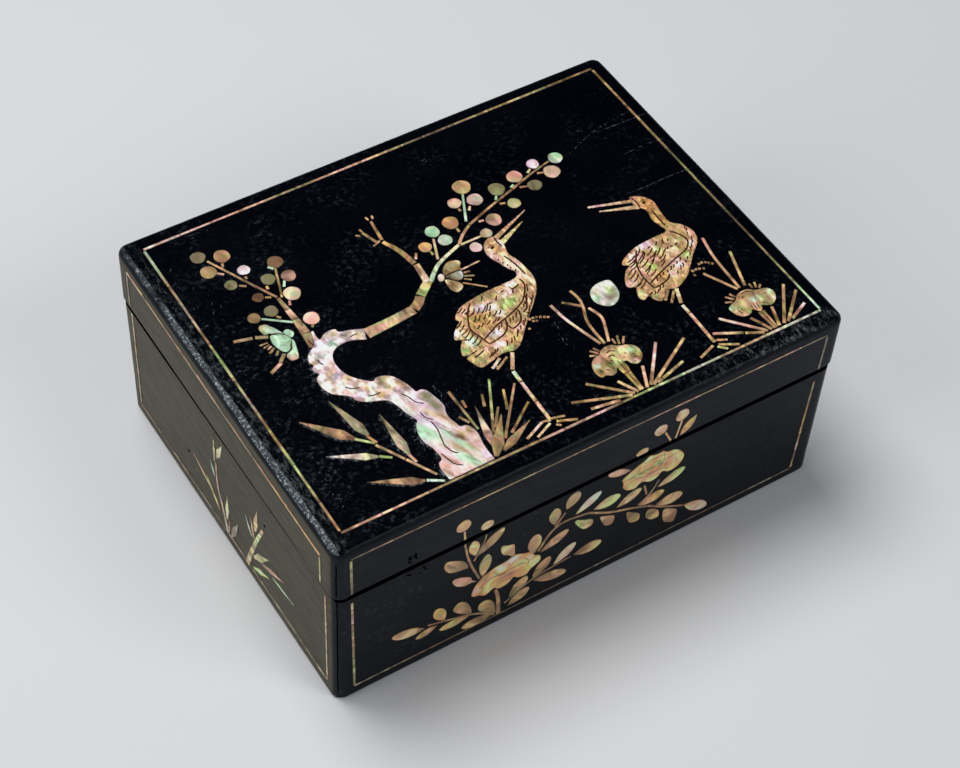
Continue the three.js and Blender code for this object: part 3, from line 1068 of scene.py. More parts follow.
TRUNK_LEFT = (
    (-78.9, 3), (-80.6, 1.7), (-83, 0), (-84.2, -1.6), (-85, -4.2), (-84.3, -6.4), (-85.7, -8),
    (-85.6, -10.1), (-84.5, -11.6), (-86.6, -13.3), (-87.2, -15.8), (-86.8, -19.9), (-84.9, -23.7),
    (-81.3, -26.6), (-79.1, -28.7), (-78.4, -31.2), (-74.9, -34.2), (-69.5, -36.4), (-66.7, -38.5),
    (-65.3, -42.8), (-64.2, -47.4), (-62.4, -52.2), (-63.8, -54.1), (-65, -56.7), (-65.8, -60.1),
    (-65.7, -64.2), (-64.5, -67.4), (-64, -71.7), (-64.2, -74.4), (-66.1, -75.6), (-67, -78.3),
    (-67, -81.6), (-66.8, -84), (-66.6, -84.9), (-65, -84.9),
)
TRUNK_RIGHT = (
    (-47.4, -84.9), (-45.8, -84.8), (-45.7, -83), (-45.8, -80.9), (-45.6, -76.5), (-44.9, -72.9),
    (-44.5, -70.5), (-44.9, -67), (-46.5, -64.4), (-48.8, -63.8), (-49.4, -61.4), (-50.3, -57.9),
    (-50, -54.7), (-48.9, -52), (-48.8, -49.4), (-49.7, -44.8), (-50.7, -41.2), (-52.7, -39.3),
    (-54.9, -39.2), (-55.5, -36), (-56.8, -32), (-59, -27.7), (-62.3, -25.3), (-65.4, -24.8),
    (-67.2, -25.8), (-69.2, -24.4), (-73, -20.4), (-75.2, -16.1), (-76, -10.3), (-74.7, -5.7),
    (-71.7, -2.9), (-67.8, -2), (-64, -2.4), (-59.4, -4.4), (-58.2, -5), (-57.8, -4), (-56.5, 0),
    (-56.1, 0.8), (-57.2, 1.2), (-61.5, 3), (-66, 4.4), (-66.6, 6.3), (-68.5, 7), (-71.8, 6.6),
    (-74.6, 4.8), (-75.2, 5), (-75.4, 6.9), (-75.2, 10.2), (-76.6, 9.4), (-77.6, 5),
)
TRUNK_CRACKS = (
    ((-79.2, 6.8), (-79.3, 5), (-78.7, 2.9)), ((-81, -4.3), (-81.2, -6.4), (-80.4, -8)),
    ((-78.8, -22.8), (-76.9, -24.9), (-73.7, -26.2)), ((-73.2, -31.7), (-70.6, -32.5), (-67.3, -32.5)),
    ((-60.6, -37.3), (-59.1, -40.3), (-57.9, -44), (-55.3, -46.4)),
    ((-59.1, -49.4), (-58.7, -52.7), (-56.4, -55.7)),
    ((-57.8, -55.5), (-57.6, -60.3), (-58.5, -64.4), (-59.4, -69.2), (-58.3, -73.4), (-56.5, -75.1)),
    ((-62.8, -71.7), (-61.9, -75.8), (-60.8, -79), (-58.1, -81.4)),
    ((-63.7, -0.6), (-62, -0.2), (-60.1, -0.4)),
)
TRUNK_SPOTS = (
    (-75.6, 6.4, 1.4, 4, "rose"), (-72.3, 5.6, 2.2, 2, "grey"), (-68.9, 4.5, 2.4, 2, "olive"),
    (-66.6, 6.4, 2, 1.6, "rose"), (-71.6, -0.3, 2.2, 2.4, "mint"), (-63.7, 1.5, 3, 1.8, "grey"),
    (-60, -1.5, 2.6, 2.6, "cream"), (-76.8, -3.6, 3, 3, "white"), (-82.7, -2, 1.6, 2.2, "white"),
    (-83.4, -5.6, 1.6, 1.6, "tan"), (-82, -8.6, 2, 2, "white"), (-78.6, -9.6, 2.4, 2.4, "rose"),
    (-83.9, -13.7, 2, 1.6, "white"), (-80, -13.4, 2.4, 1.6, "tan"), (-86.3, -16.7, 1.4, 2.4, "white"),
    (-82, -17.4, 2.2, 2, "cream"), (-78.9, -16.6, 2.6, 1.6, "lilac"), (-75.7, -19.3, 2.4, 2, "tan"),
    (-83, -22, 2.4, 1.4, "grey"), (-79, -21, 2, 1.6, "white"), (-75.4, -29.2, 2, 2.6, "lilac"),
    (-76.2, -26, 1.6, 1.6, "white"), (-71.3, -28, 1.8, 2, "tan"), (-68.4, -28.8, 1.8, 1.6, "white"),
    (-73, -33, 2.6, 1.2, "mint"), (-67.8, -33.5, 2.2, 2, "gold"), (-63.5, -27.3, 4, 2, "olive"),
    (-62.9, -32, 2.4, 2, "cream"), (-58.1, -33, 1.8, 4, "tan"), (-63.7, -40.2, 2, 3.4, "silver"),
    (-59.2, -39.4, 2, 3, "white"), (-60.8, -45.4, 2, 3.6, "rose"), (-63, -46.6, 1.2, 4, "silver"),
    (-52.9, -43.5, 2.8, 3.8, "moss"), (-51.7, -49.5, 2.6, 4.8, "moss"), (-52.2, -56, 1.8, 4, "tan"),
    (-50.7, -61, 1.4, 3, "tan"), (-55.6, -52.3, 1.4, 5, "cream"), (-52.8, -60.6, 1.2, 5, "white"),
    (-50.3, -67.2, 1.2, 3, "gold"), (-46.9, -67.1, 2.2, 2.6, "tan"), (-46.8, -72.5, 1.6, 2.4, "rose"),
    (-61.9, -60.5, 3.2, 8, "mint"), (-64.6, -60, 1.2, 5, "mint"), (-61.4, -67, 2, 4, "white"),
    (-54.9, -64.5, 1.6, 3, "mint"), (-51.4, -68.6, 1.5, 2.8, "brown"), (-55, -72.6, 1.6, 5, "tan"),
    (-52, -73.4, 1.4, 7, "mint"), (-49.6, -75.6, 1.1, 3.6, "tan"), (-55.8, -78, 2, 5, "mint"),
    (-53, -82, 2.2, 4.6, "mint"), (-47.1, -81.5, 1.6, 3, "lilac"), (-62.6, -73.6, 1, 2.6, "tan"),
    (-61, -77.6, 1, 3, "tan"), (-64.6, -78, 1.4, 3, "pink"), (-62.4, -82, 1.6, 2.6, "rose"),
    (-66, -83.4, 1, 2, "silver"), (-65.2, -67.7, 0.8, 3, "pink"),
)
# Branches: points of (u, v, width) and two shades
LEFT_BRANCH = (
    (((-78.2, 10.4, 4.3), (-78.9, 6.5, 3.6), (-80, 2.4, 2.4)), "olive", "brown"),
    (((-78.3, 10.6, 4.3), (-78.3, 19.4, 3.2)), "brown", "olive"),
    (((-78.3, 19.6, 3.1), (-78.6, 25.8, 2.5)), "tan", "pink"),
    (((-78.6, 26, 2.4), (-78.9, 33.6, 1.7)), "olive", "brown"),
)
# Branches: points of (u, v, width), shades, and the two points that the shades run between
RIGHT_BRANCH = (
    (((-56.7, -2.2, 5.8), (-44, -1.5, 5.2), (-32.6, -0.4, 4.9)), ("pink", "green", "olive", "grey", "tan"),
     ((-57, 0), (-33, 0))),
    (((-32.3, -0.2, 4.8), (-29, 1.8, 4.5), (-26.4, 4.6, 4.4)), ("brown", "tan"), ((-32, 0), (-26, 4))),
    (((-26, 5, 4.4), (-22.6, 7.6, 4.3), (-18.8, 10.6, 4)), ("green", "tan"), ((-26, 5), (-19, 10))),
)


def make_trunk():
    inlay = Inlay(TRUNK_BRIGHT)
    inlay.lay(TOP_FACE, outline(*TRUNK_LEFT, *TRUNK_RIGHT), "lilac", "rose", "lilac", "rose",
              along=((-80, 6), (-56, -85)), seed=0.3, spots=TRUNK_SPOTS, slant=TRUNK_SLANT)
    inlay.finish("plum_trunk_shell", TRUNK_NACRE, "pale_nacre", "plum_trunk")

    inlay = Inlay()
    for points, start, end in LEFT_BRANCH:
        inlay.bough(TOP_FACE, points, start, end, lift=0.02)
    for points, shades, along in RIGHT_BRANCH:
        inlay.lay(TOP_FACE, band(*points), *shades, along=along)
    inlay.finish("plum_branches", NACRE, "nacre", "plum_branch_left", "plum_branch_right")


# Round blossoms: place, radius, shade, and the two ends of the stalk where there is one
LEFT_BLOSSOMS = (
    (-97.3, 70.9, 3.4, "moss", None), (-88.1, 66.6, 3.6, "sand", ((-90.6, 60.6), (-89.9, 62.8))),
    (-97.3, 61.1, 3.6, "tan", ((-94.6, 58.9), (-92.1, 56.7))),
    (-83.8, 54.9, 2.9, "lilac", ((-85, 49.6), (-85, 51.4))),
    (-92.5, 49.9, 2.8, "moss", ((-89.7, 48), (-87.1, 46))),
    (-70, 52.4, 3.6, "brown", ((-74.2, 51.4), (-72.4, 49.2))),
    (-77.3, 45.1, 3.2, "moss", ((-79.7, 42), (-80.1, 40))),
    (-68.8, 42.7, 3.2, "grey", ((-71.7, 41), (-73.5, 38))),
    (-86, 38, 2.6, "umber", ((-83.4, 36.6), (-81.1, 35.3))),
    (-72.4, 33, 3.8, "cream", ((-75.4, 30), (-76.4, 27.4))),
    (-93, 28.5, 2.8, "umber", ((-90.5, 26.7), (-79.9, 18.5))),
    (-84.9, 28.5, 3.1, "moss", ((-84.4, 24.9), (-83.1, 23.1))),
    (-72.2, 16.7, 3.5, "pink", ((-73.5, 13.1), (-74.4, 12.1))),
)
RIGHT_BLOSSOMS = (
    (-9.8, 28, 3, "orange", ((-9.1, 24.6), (-9.1, 22.4))),
    (-2.4, 34.4, 3.3, "silver", ((-4.1, 30.6), (-8.8, 19.2))), (-0.1, 27.4, 3.3, "silver", None),
    (7.3, 35.1, 3.7, "orange", ((8, 31), (7.8, 28.5))),
    (15.1, 44.4, 3.2, "pink", ((14.9, 40.7), (14.9, 38.9))),
    (23.1, 51.4, 4.2, "tan", ((21.2, 47.4), (13.7, 32.4))),
    (24.1, 41.9, 3.7, "rose", ((20.1, 39.6), (18.4, 37.4))),
    (35.9, 42.6, 3.8, "moss", ((33.7, 39.2), (31.9, 37.1))),
    (24.8, 27.4, 3.6, "grey", ((20.9, 29.2), (18.4, 29.6))),
    (38, 31.5, 3.1, "green", ((34.8, 33.5), (32.3, 34.2))),
    (17.6, 22.1, 2.8, "cream", ((14.8, 21.7), (4.4, 21.7))), (9.2, 17.2, 2.8, "rose", None),
    (47, 45.3, 3.7, "pink", ((44, 41.4), (42, 40.3))),
    (58.5, 48.1, 2.9, "lilac", ((55.9, 46), (53.4, 44.4))), (69.5, 46.4, 3.4, "mint", None),
    (63.4, 39.8, 3.9, "cream", ((60.2, 41), (57, 42.1))),
    (52.1, 36.4, 3.4, "moss", ((49.1, 37.4), (45.4, 38.5))),
)
STALK_SHADES = ("tan", "tan", "gold", "pink", "mint", "cream")
# The shade that a blossom runs into on its far side, where it is another
FAR_SHADES = {"rose": "white", "cream": "rose", "silver": "mint", "mint": "silver", "lilac": "white",
              "orange": "tan", "grey": "pink", "green": "cream"}


def make_blossoms():
    inlay = Inlay()
    for u, v, radius, shade, stalk in LEFT_BLOSSOMS + RIGHT_BLOSSOMS:
        shape = oval(u, v, radius, radius * DRAW.uniform(0.95, 1.05))
        inlay.lay(TOP_FACE, shape, shade, FAR_SHADES.get(shade, shade),
                  along=((u - radius, v + radius), (u + radius, v - radius)))
        if stalk:
            inlay.lay(TOP_FACE, stick(*stalk, 1.1, 1.3), DRAW.choice(STALK_SHADES))
    inlay.finish("plum_blossoms", SATIN_NACRE, "nacre")


# Twigs: points of (u, v, width) and two shades
TWIGS = (
    (((-78.9, 34, 1.3), (-85.5, 47.5, 1.2), (-94.8, 67.1, 1.1)), "brown", "tan"),
    (((-77.2, 33.1, 1), (-74.2, 41.5, 1.1), (-71.7, 49.2, 1.1)), "gold", "tan"),
    (((-19.5, 10.3, 3.4), (-19, 15, 3.1), (-18.4, 21.4, 2.9)), "rose", "tan"),
    (((-18.8, 22.1, 2.7), (-20.6, 31.7, 2.5), (-24.1, 39.8, 1.9)), "tan", "gold"),
    (((-26.3, 40.6, 1.5), (-29.1, 48.9, 1.4)), "tan", "tan"),
    (((-23.8, 41, 1.7), (-22.4, 53.1, 1.3)), "gold", "tan"),
    (((-24.9, 41, 1), (-28.8, 39.6, 1)), "tan", "tan"),
    (((-17, 23.9, 1.2), (-14.9, 27.1, 1.2)), "pink", "tan"),
    (((-18.1, 9.6, 2.2), (-9.9, 16.7, 1.9), (3.7, 22.1, 1.6)), "mint", "cream"),
    (((3.9, 22.3, 1.6), (8, 26.2, 1.5), (13.7, 29.9, 1.4)), "pink", "tan"),
    (((13.9, 30, 1.4), (27, 34.6, 1.3), (42, 39.2, 1.3)), "tan", "brown"),
    (((42.3, 39.3, 1.3), (53, 42.8, 1.2), (65.6, 46, 0.9)), "brown", "tan"),
)
# Buds on the twigs' ends: place and turn
TWIG_BUDS = ((-31.6, 48.3, 0.9), (-29, 50.2, 0.2), (-23.1, 55.3, 0.2), (-20.6, 54.9, -0.3))


def make_twigs():
    inlay = Inlay()
    for points, start, end in TWIGS:
        inlay.bough(TOP_FACE, points, start, end)
    for u, v, turn in TWIG_BUDS:
        inlay.lay(TOP_FACE, oval(u, v, 0.6, 1.3, turn, 12), "tan")
    inlay.finish("plum_twigs", NACRE, "nacre")


# Large plum blossoms from the side: outline, shades, and the two points that the shades run between
SIDE_PETALS = (
    (((-94, 22.8), (-92.5, 23.7), (-90.5, 23.1), (-89.5, 21.6), (-88.1, 19.3), (-87, 16.6),
     (-86.6, 15.4), (-87.6, 14.9), (-89.5, 16.1), (-91.5, 17.8), (-93.6, 18.3), (-94.3, 20.6)), ("tan",
     "mint", "mint"), ((-94, 22), (-87, 15))),
    (((-86.4, 15.5), (-84.9, 16.5), (-83.7, 16.2), (-82.7, 14.8), (-82.5, 13), (-83.8, 11.6),
     (-85.1, 11.9), (-85.9, 13.8)), ("mint", "mint"), ((-86, 16), (-83, 12))),
    (((-84.9, 10.6), (-84.5, 9.1), (-85.2, 6), (-86.3, 2.5), (-87.3, 0.3), (-88.8, 0), (-90.6, 0.4),
     (-91.4, 2.6), (-90.7, 4.3), (-89.1, 4.9), (-87.5, 5.8), (-86.3, 8.3)), ("mint", "mint", "pink"),
     ((-85, 10), (-90, 0))),
    (((-92.1, 16.3), (-90.9, 16.6), (-89.1, 15.5), (-86.6, 14.4), (-85.4, 12.2), (-85.1, 10.8),
     (-86.5, 8.5), (-87.9, 6.3), (-90.1, 5.4), (-91.9, 7.5), (-93, 11.8), (-92.7, 14.6)), ("mint",
     "mint", "mint"), ((-93, 15), (-86, 7))),
    (((-14.3, 10.3), (-13.2, 11.3), (-12, 11.1), (-11.4, 9.6), (-12.7, 7.6), (-14.4, 7.4), (-14.9, 8.8)),
     ("white", "cream"), ((-14, 11), (-12, 8))),
    (((-10.9, 12.1), (-8.7, 14.5), (-5.9, 15.8), (-3.2, 15.3), (-1.4, 14.1), (-1.5, 12.4), (-2.7, 11),
     (-3, 9.5), (-4.2, 9.5), (-7.2, 9.8), (-11.1, 9.7)), ("brown", "tan", "orange", "cream"), ((-10, 11),
     (-1.4, 14.6))),
    (((-11.4, 9), (-7.8, 9.2), (-4.9, 9.1), (-3.7, 8.1), (-4.1, 6), (-5.4, 4.5), (-7.4, 4.3),
     (-9.7, 6.4)), ("dull", "brown", "silver"), ((-11, 8), (-4, 8))),
    (((-12.4, 7.5), (-10.4, 6.4), (-8.5, 4.3), (-7.3, 2.2), (-7.6, 0.4), (-9.6, -1), (-11.7, -1.1),
     (-13.2, 1.4), (-13.2, 4.6)), ("cream", "brown", "tan", "cream"), ((-12.6, 7), (-9, -1))),
)
# Stamens: two ends, width and shade
STAMENS = (
    ((-98.7, 19.1), (-106.6, 21.2), 1.7, "olive"), ((-92.8, 16.4), (-97.7, 18.9), 1.8, "olive"),
    ((-94.4, 13.8), (-98.2, 14), 0.9, "brown"), ((-94.2, 12.5), (-97.4, 12), 0.8, "brown"),
    ((-94, 11.4), (-96.4, 10.4), 0.9, "pink"), ((-93.4, 10), (-96.6, 8.2), 1.3, "olive"),
    ((-92.8, 8), (-94.6, 5.9), 1.2, "olive"), ((-91.4, 5.2), (-95, 1.9), 1.7, "olive"),
    ((-94.9, 1.4), (-101.2, -1.5), 1.7, "pink"), ((-3.7, 9), (6.3, 9.6), 0.9, "pink"),
    ((-3.3, 7.1), (-0.4, 6.5), 1, "brown"), ((-4.3, 5.4), (-0.1, 3.4), 1.1, "olive"),
    ((-5, 4), (-2.4, 1.9), 0.9, "tan"), ((-6.7, 2.3), (1.3, -5), 0.9, "orange"),
)
# Cuts in the petals
PETAL_CUTS = (
    ((-85.8, 8.9), (-86.9, 8.1), (-87.3, 6.5), (-88.3, 5.4)), ((-90.8, 16.9), (-88.6, 16.4), (-87, 15)),
    ((-11.3, 5.5), (-10.5, 2.1)), ((-9.6, 11.2), (-8.9, 12.2)), ((-11, 9.3), (-7.4, 9.5), (-4, 9.3)),
)


def make_side_blossoms():
    inlay = Inlay()
    for points, shades, along in SIDE_PETALS:
        inlay.lay(TOP_FACE, outline(*points), *shades, along=along)
    for start, end, width, shade in STAMENS:
        inlay.bar(TOP_FACE, start, end, (width,), shade, "tan")
    inlay.finish("side_blossoms", PALE_NACRE, "pale_nacre", "left_plum_blossom", "right_plum_blossom")


# The cranes: outline of body, neck and head, and spots

LEFT_CRANE = (
    (14.4, 0), (12.7, 4.5), (11.4, 8), (11, 12), (12.4, 16), (15.2, 18.6), (18.8, 19), (20.4, 16.4),
    (20.6, 12.2), (19.4, 7), (20.9, 2), (21.7, -5.7), (21.2, -11), (18.7, -16.4), (13.7, -22.1),
    (7.3, -27.9), (1.6, -33.6), (-3.4, -38.6), (-7.7, -40.7), (-13.4, -39.8), (-20.6, -41.4),
    (-25.2, -41.8), (-27.2, -37), (-27.6, -34.6), (-25.8, -33.9), (-28.4, -32.6), (-26.9, -28.6),
    (-24.4, -25.2), (-26.6, -23.6), (-25, -20.4), (-22, -17.5), (-19.7, -15.8), (-20.5, -14),
    (-18.2, -11.2), (-13.4, -8.6), (-2, -6.9), (8, -6.8), (14.6, -6.2), (16.2, -3.4),
)
LEFT_CRANE_SPOTS = (
    (16, 12, 3, 4, "gold"), (12.4, 8, 2.6, 6, "rose"), (17.6, -1, 3.4, 6, "rose"),
    (17, 5, 2.4, 4, "cream"), (19.6, 14, 1.6, 3, "rose"), (10.6, -8.4, 3, 1.8, "white"),
    (6, -12, 4, 2, "rose"), (-2, -9, 5, 2.4, "olive"), (-12, -20, 5, 6, "gold"),
    (-3, -15.4, 2.4, 2.4, "white"), (-2, -20.4, 2.4, 2, "white"), (-8, -13.6, 3, 2, "lilac"),
    (4, -17, 5, 3, "green"), (-14.6, -12, 3, 2.4, "pink"), (-24, -21, 2.6, 2.6, "white"),
    (-21, -28, 2.6, 3, "mint"), (-26, -31, 2, 2.4, "green"), (-23, -38.6, 4, 2.4, "olive"),
    (-19, -35, 3, 1.6, "pink"), (-12, -35, 4, 1.8, "rose"), (-9.6, -38.6, 4, 1.5, "green"),
    (-5.6, -35.6, 2, 2.6, "gold"), (-10, -29, 3, 2, "lilac"), (1, -31, 3, 2, "pink"),
    (6, -25, 3, 3, "olive"), (13, -20, 2.4, 2, "pink"), (18, -16, 2, 2.6, "pink"),
    (20, -9, 2, 5, "cream"),
)
RIGHT_CRANE = (
    (86.3, -1), (83.8, 2.6), (83.5, 6.8), (84.6, 9.2), (88.4, 7.8), (91, 5), (92.3, 1.4), (91.3, -5.7),
    (91.3, -12.1), (94.9, -15.9), (97, -20.7), (96.6, -25), (94.1, -28.8), (89.1, -32.9), (84.1, -37.9),
    (79.9, -41.8), (74.9, -44.6), (70.6, -45.7), (66.6, -44.3), (63.6, -47.4), (60.9, -48.6),
    (58.8, -46.4), (58.2, -43.6), (55.2, -44.6), (53.8, -42.6), (54.6, -39.6), (56, -36.8),
    (53.4, -35.6), (53.2, -33.2), (55.2, -29.6), (58.1, -26.4), (60.7, -25), (58.5, -23.2), (60, -21.1),
    (64.9, -18.6), (70.6, -16.9), (79.9, -16.2), (86.4, -15.9), (86.2, -12), (85.2, -7.2),
)
RIGHT_CRANE_SPOTS = (
    (88.6, 2, 4, 6, "orange"), (84.6, 7, 1.4, 1.8, "pink"), (88, -8, 4, 5, "gold"),
    (73, -18, 4, 2, "lilac"), (65, -22, 4, 2.6, "rose"), (60.4, -21.4, 2.4, 2, "gold"),
    (62, -27, 2.6, 2.4, "pink"), (56, -34, 2.6, 2, "rose"), (64, -31, 3, 2.4, "pink"),
    (68.6, -30.6, 3.4, 2, "green"), (66, -26, 3, 2, "cream"), (77, -23, 2, 2, "green"),
    (75, -21, 2, 2, "rose"), (86, -23, 2.6, 2.4, "cream"), (80, -34, 3.6, 3, "rose"),
    (86, -32, 2.6, 2, "green"), (92, -27, 2, 2, "rose"), (95, -21, 1.6, 4, "pink"),
    (72, -27, 2.4, 2, "pink"), (72, -42, 4.4, 2.6, "tan"), (56, -42, 2, 2, "cream"),
    (60, -46, 2.4, 2.4, "olive"), (70, -36.4, 3, 2, "orange"), (74.6, -38, 2, 2, "rose"),
    (82, -27, 3, 2, "cream"),
)
# Halves of the beaks: two ends, width at each, and two shades
LEFT_BEAK = (
    ((19.4, 17.4), (39.8, 25.6), (2.6, 0.5), ("tan", "pink")),
    ((20.3, 13.9), (35.1, 20.3), (2.9, 0.6), ("cream", "tan")),
)
RIGHT_BEAK = (
    ((84.4, 6.6), (64.7, 13.1), (1.9, 1.2), ("tan", "rose")),
    ((84.8, 2.2), (67.7, 8.5), (2.6, 0.6), ("tan", "cream")),
)
# Legs, toes and feathers above the legs: two ends, width and shade
LEFT_LEG = (
    ((-9.5, -41.2), (-14.5, -49.3), 1.8, "cream"), ((-14.7, -50), (-15, -56.2), 1.8, "mint"),
    ((-15, -56.6), (-15.3, -68), 1.6, "rose"), ((-15.3, -68.3), (-15.6, -79.3), 1.7, "pink"),
    ((-14.9, -78.9), (-9.1, -80.4), 1.2, "brown"), ((-13.8, -81.1), (-5.6, -84.6), 1.4, "gold"),
    ((-19.1, -78.6), (-29.1, -82.9), 1.3, "rose"), ((-16.6, -80.7), (-24.9, -84.3), 1.2, "cream"),
    ((-14.9, -82.5), (-13.1, -83.9), 1.1, "pink"), ((-19, -78.5), (-15.4, -79.5), 1.2, "tan"),
    ((-21.3, -44.6), (-15.6, -41.2), 1.4, "white"), ((-19.9, -46), (-12.7, -42.2), 1.2, "tan"),
    ((-19.4, -45), (-18.6, -44.4), 0.9, "tan"),
)
RIGHT_LEG = (
    ((70.8, -45.9), (67.7, -53.9), 1.8, "cream"), ((67.5, -55), (67.5, -60), 1.6, "white"),
    ((67.5, -60.3), (67.1, -78.9), 1.6, "pink"), ((65.6, -80), (57, -82.9), 1.3, "tan"),
    ((68.1, -78.2), (72.7, -80.4), 1.2, "orange"), ((67.7, -80.7), (75.6, -85), 1.3, "tan"),
    ((66.6, -81.4), (69.9, -84.6), 1.2, "green"), ((62.7, -49.3), (67.4, -44.6), 1.4, "tan"),
    ((64.1, -51.8), (69.1, -46.4), 1.2, "brown"), ((65.6, -50.6), (67, -49.2), 0.9, "brown"),
)
# Rows of small chips of shell beside each tail
LEFT_CHAINS = (
    ((5.1, -29.8), (7.5, -29.3), (10.5, -30.1), (14.8, -32.6)), ((6.1, -30.4), (8.3, -31.3), (10.2, -32.2)),
    ((2, -33.4), (3.8, -33.8)),
)
RIGHT_CHAINS = (
    ((86, -39.6), (88.4, -39), (90.3, -39.4), (93.6, -42.6)), ((81.3, -41.3), (84.9, -41.1), (88.7, -42.6)),
    ((79.3, -43.2), (82.1, -43.5)),
)


def lay_chain(inlay, points):
    line = curve(points, 10)
    gone = 0.0
    for start, end in zip(line, line[1:]):
        gone += (end - start).length
        if gone > CHIP:
            gone = 0.0
            way = (end - start).to_2d().normalized() * CHIP * 0.42
            here = end.to_2d()
            shape = stick(here - way, here + way, DRAW.uniform(1, 1.5))
            inlay.lay(TOP_FACE, shape, DRAW.choice(("tan", "brown")))


def make_crane(side, body, spots, beak, leg, chains, seed):
    inlay = Inlay(CRANE_BRIGHT)
    inlay.lay(TOP_FACE, outline(*body), "tan", seed=seed, spots=spots)
    for start, end, widths, shades in beak:
        inlay.bar(TOP_FACE, start, end, widths, *shades)
    for start, end, width, shade in leg:
        inlay.bar(TOP_FACE, start, end, (width,), shade, "tan")
    for points in chains:
        lay_chain(inlay, points)
    inlay.finish(f"{side}_crane_shell", FEATHER_NACRE, "nacre", f"{side}_crane", f"{side}_crane_leg")


# Cut lines on the shell

class Cuts(Inlay):
    """Thin filled lines, laid over the shell or in the lacquer."""

    def line(self, face, points, width, lift=ENGRAVED):
        """A cut that is fine at both ends."""
        line = curve(points, 4)
        if len(line) == 2:
            line.insert(1, line[0].lerp(line[1], 0.5))
        last = len(line) - 1
        for index, point in enumerate(line):
            point.z = width * (FINE_END if index in (0, last) else 1)
        self.lay(face, ribbon(line), "brown", lift=lift)

    def ticks(self, face, guide, spacing, length, lean):
        """Curved feather cuts at even distances along a guide line."""
        line = curve(guide, 12)
        gone = spacing
        for start, end in zip(line, line[1:]):
            gone += (end - start).length
            if gone < spacing:
                continue
            gone = 0.0
            angle = lean + DRAW.uniform(-0.14, 0.14)
            reach = length * DRAW.uniform(0.75, 1.2)
            here = end.to_2d() + Vector((DRAW.uniform(-0.25, 0.25), DRAW.uniform(-0.25, 0.25)))
            way = Vector((math.cos(angle), math.sin(angle))) * reach
            bow = Vector((-way.y, way.x)) * -0.07
            self.line(face, (here, here + way * 0.5 + bow, here + way), FEATHER_CUT)


CRANE_LINES = (
    ((-10.2, -9.2), (-14.3, -14), (-17.9, -21.6), (-16.6, -27), (-15.3, -32.6)),
    ((-15.3, -32.6), (-10, -32), (-6, -30.5), (-3.2, -27.5), (-2.4, -25)),
    ((-15.9, -29.6), (-7, -25.4), (0, -23.4), (8, -20.2), (12.5, -16.4), (15.6, -11.5), (15.5, -7.7)),
    ((-2.8, -27.8), (-2.1, -30.2), (1.6, -29.3), (4.3, -26.5), (5.6, -21.8)),
    ((6.5, -24.8), (9, -23.6), (11.4, -19.8), (12.6, -17)), ((16.9, 7), (18.6, 0.5), (19.2, -7)),
    ((19.2, 18.2), (18.8, 15.5), (19.4, 12)), ((-5.6, -10.6), (-3.4, -8.2)), ((0, -13.6), (1.8, -11)),
    ((3.8, -10.7), (6.2, -10.2)), ((9.2, -11), (11, -11.2), (13.6, -10.2)),
    ((8.5, -13.8), (9.8, -11.3)), ((-4, -13.6), (-1.8, -13.5)),
    ((-24.6, -36), (-22, -35.4), (-18.8, -34.3)), ((-25.8, -33.9), (-21.4, -33)),
    ((-24.4, -25.2), (-21, -26.5)), ((68.7, -19), (65, -24), (62.7, -30), (62.2, -36), (62.8, -41.2)),
    ((62.8, -41.2), (68, -40.6), (71.5, -39.2), (73.2, -37.3)),
    ((62.8, -38), (68, -35.8), (75, -33.3), (82, -31), (87.5, -29.4), (91, -26.3), (91.5, -23),
     (89.8, -19), (88, -17)),
    ((88.5, -1.6), (88.2, -8), (88.2, -13)), ((84.8, 8.8), (85.4, 5), (84.9, 1.6)),
    ((81, -21.7), (82.6, -18.5)), ((83.4, -21.2), (84.8, -20)), ((77.6, -20.8), (79.6, -18.8)),
    ((73.4, -20.6), (75.4, -20)), ((56, -36.8), (59.6, -36.2)), ((58.2, -43.6), (61, -42.4)),
)
CRANE_EYES = ((15.2, 13.4), (88.1, 3.4))
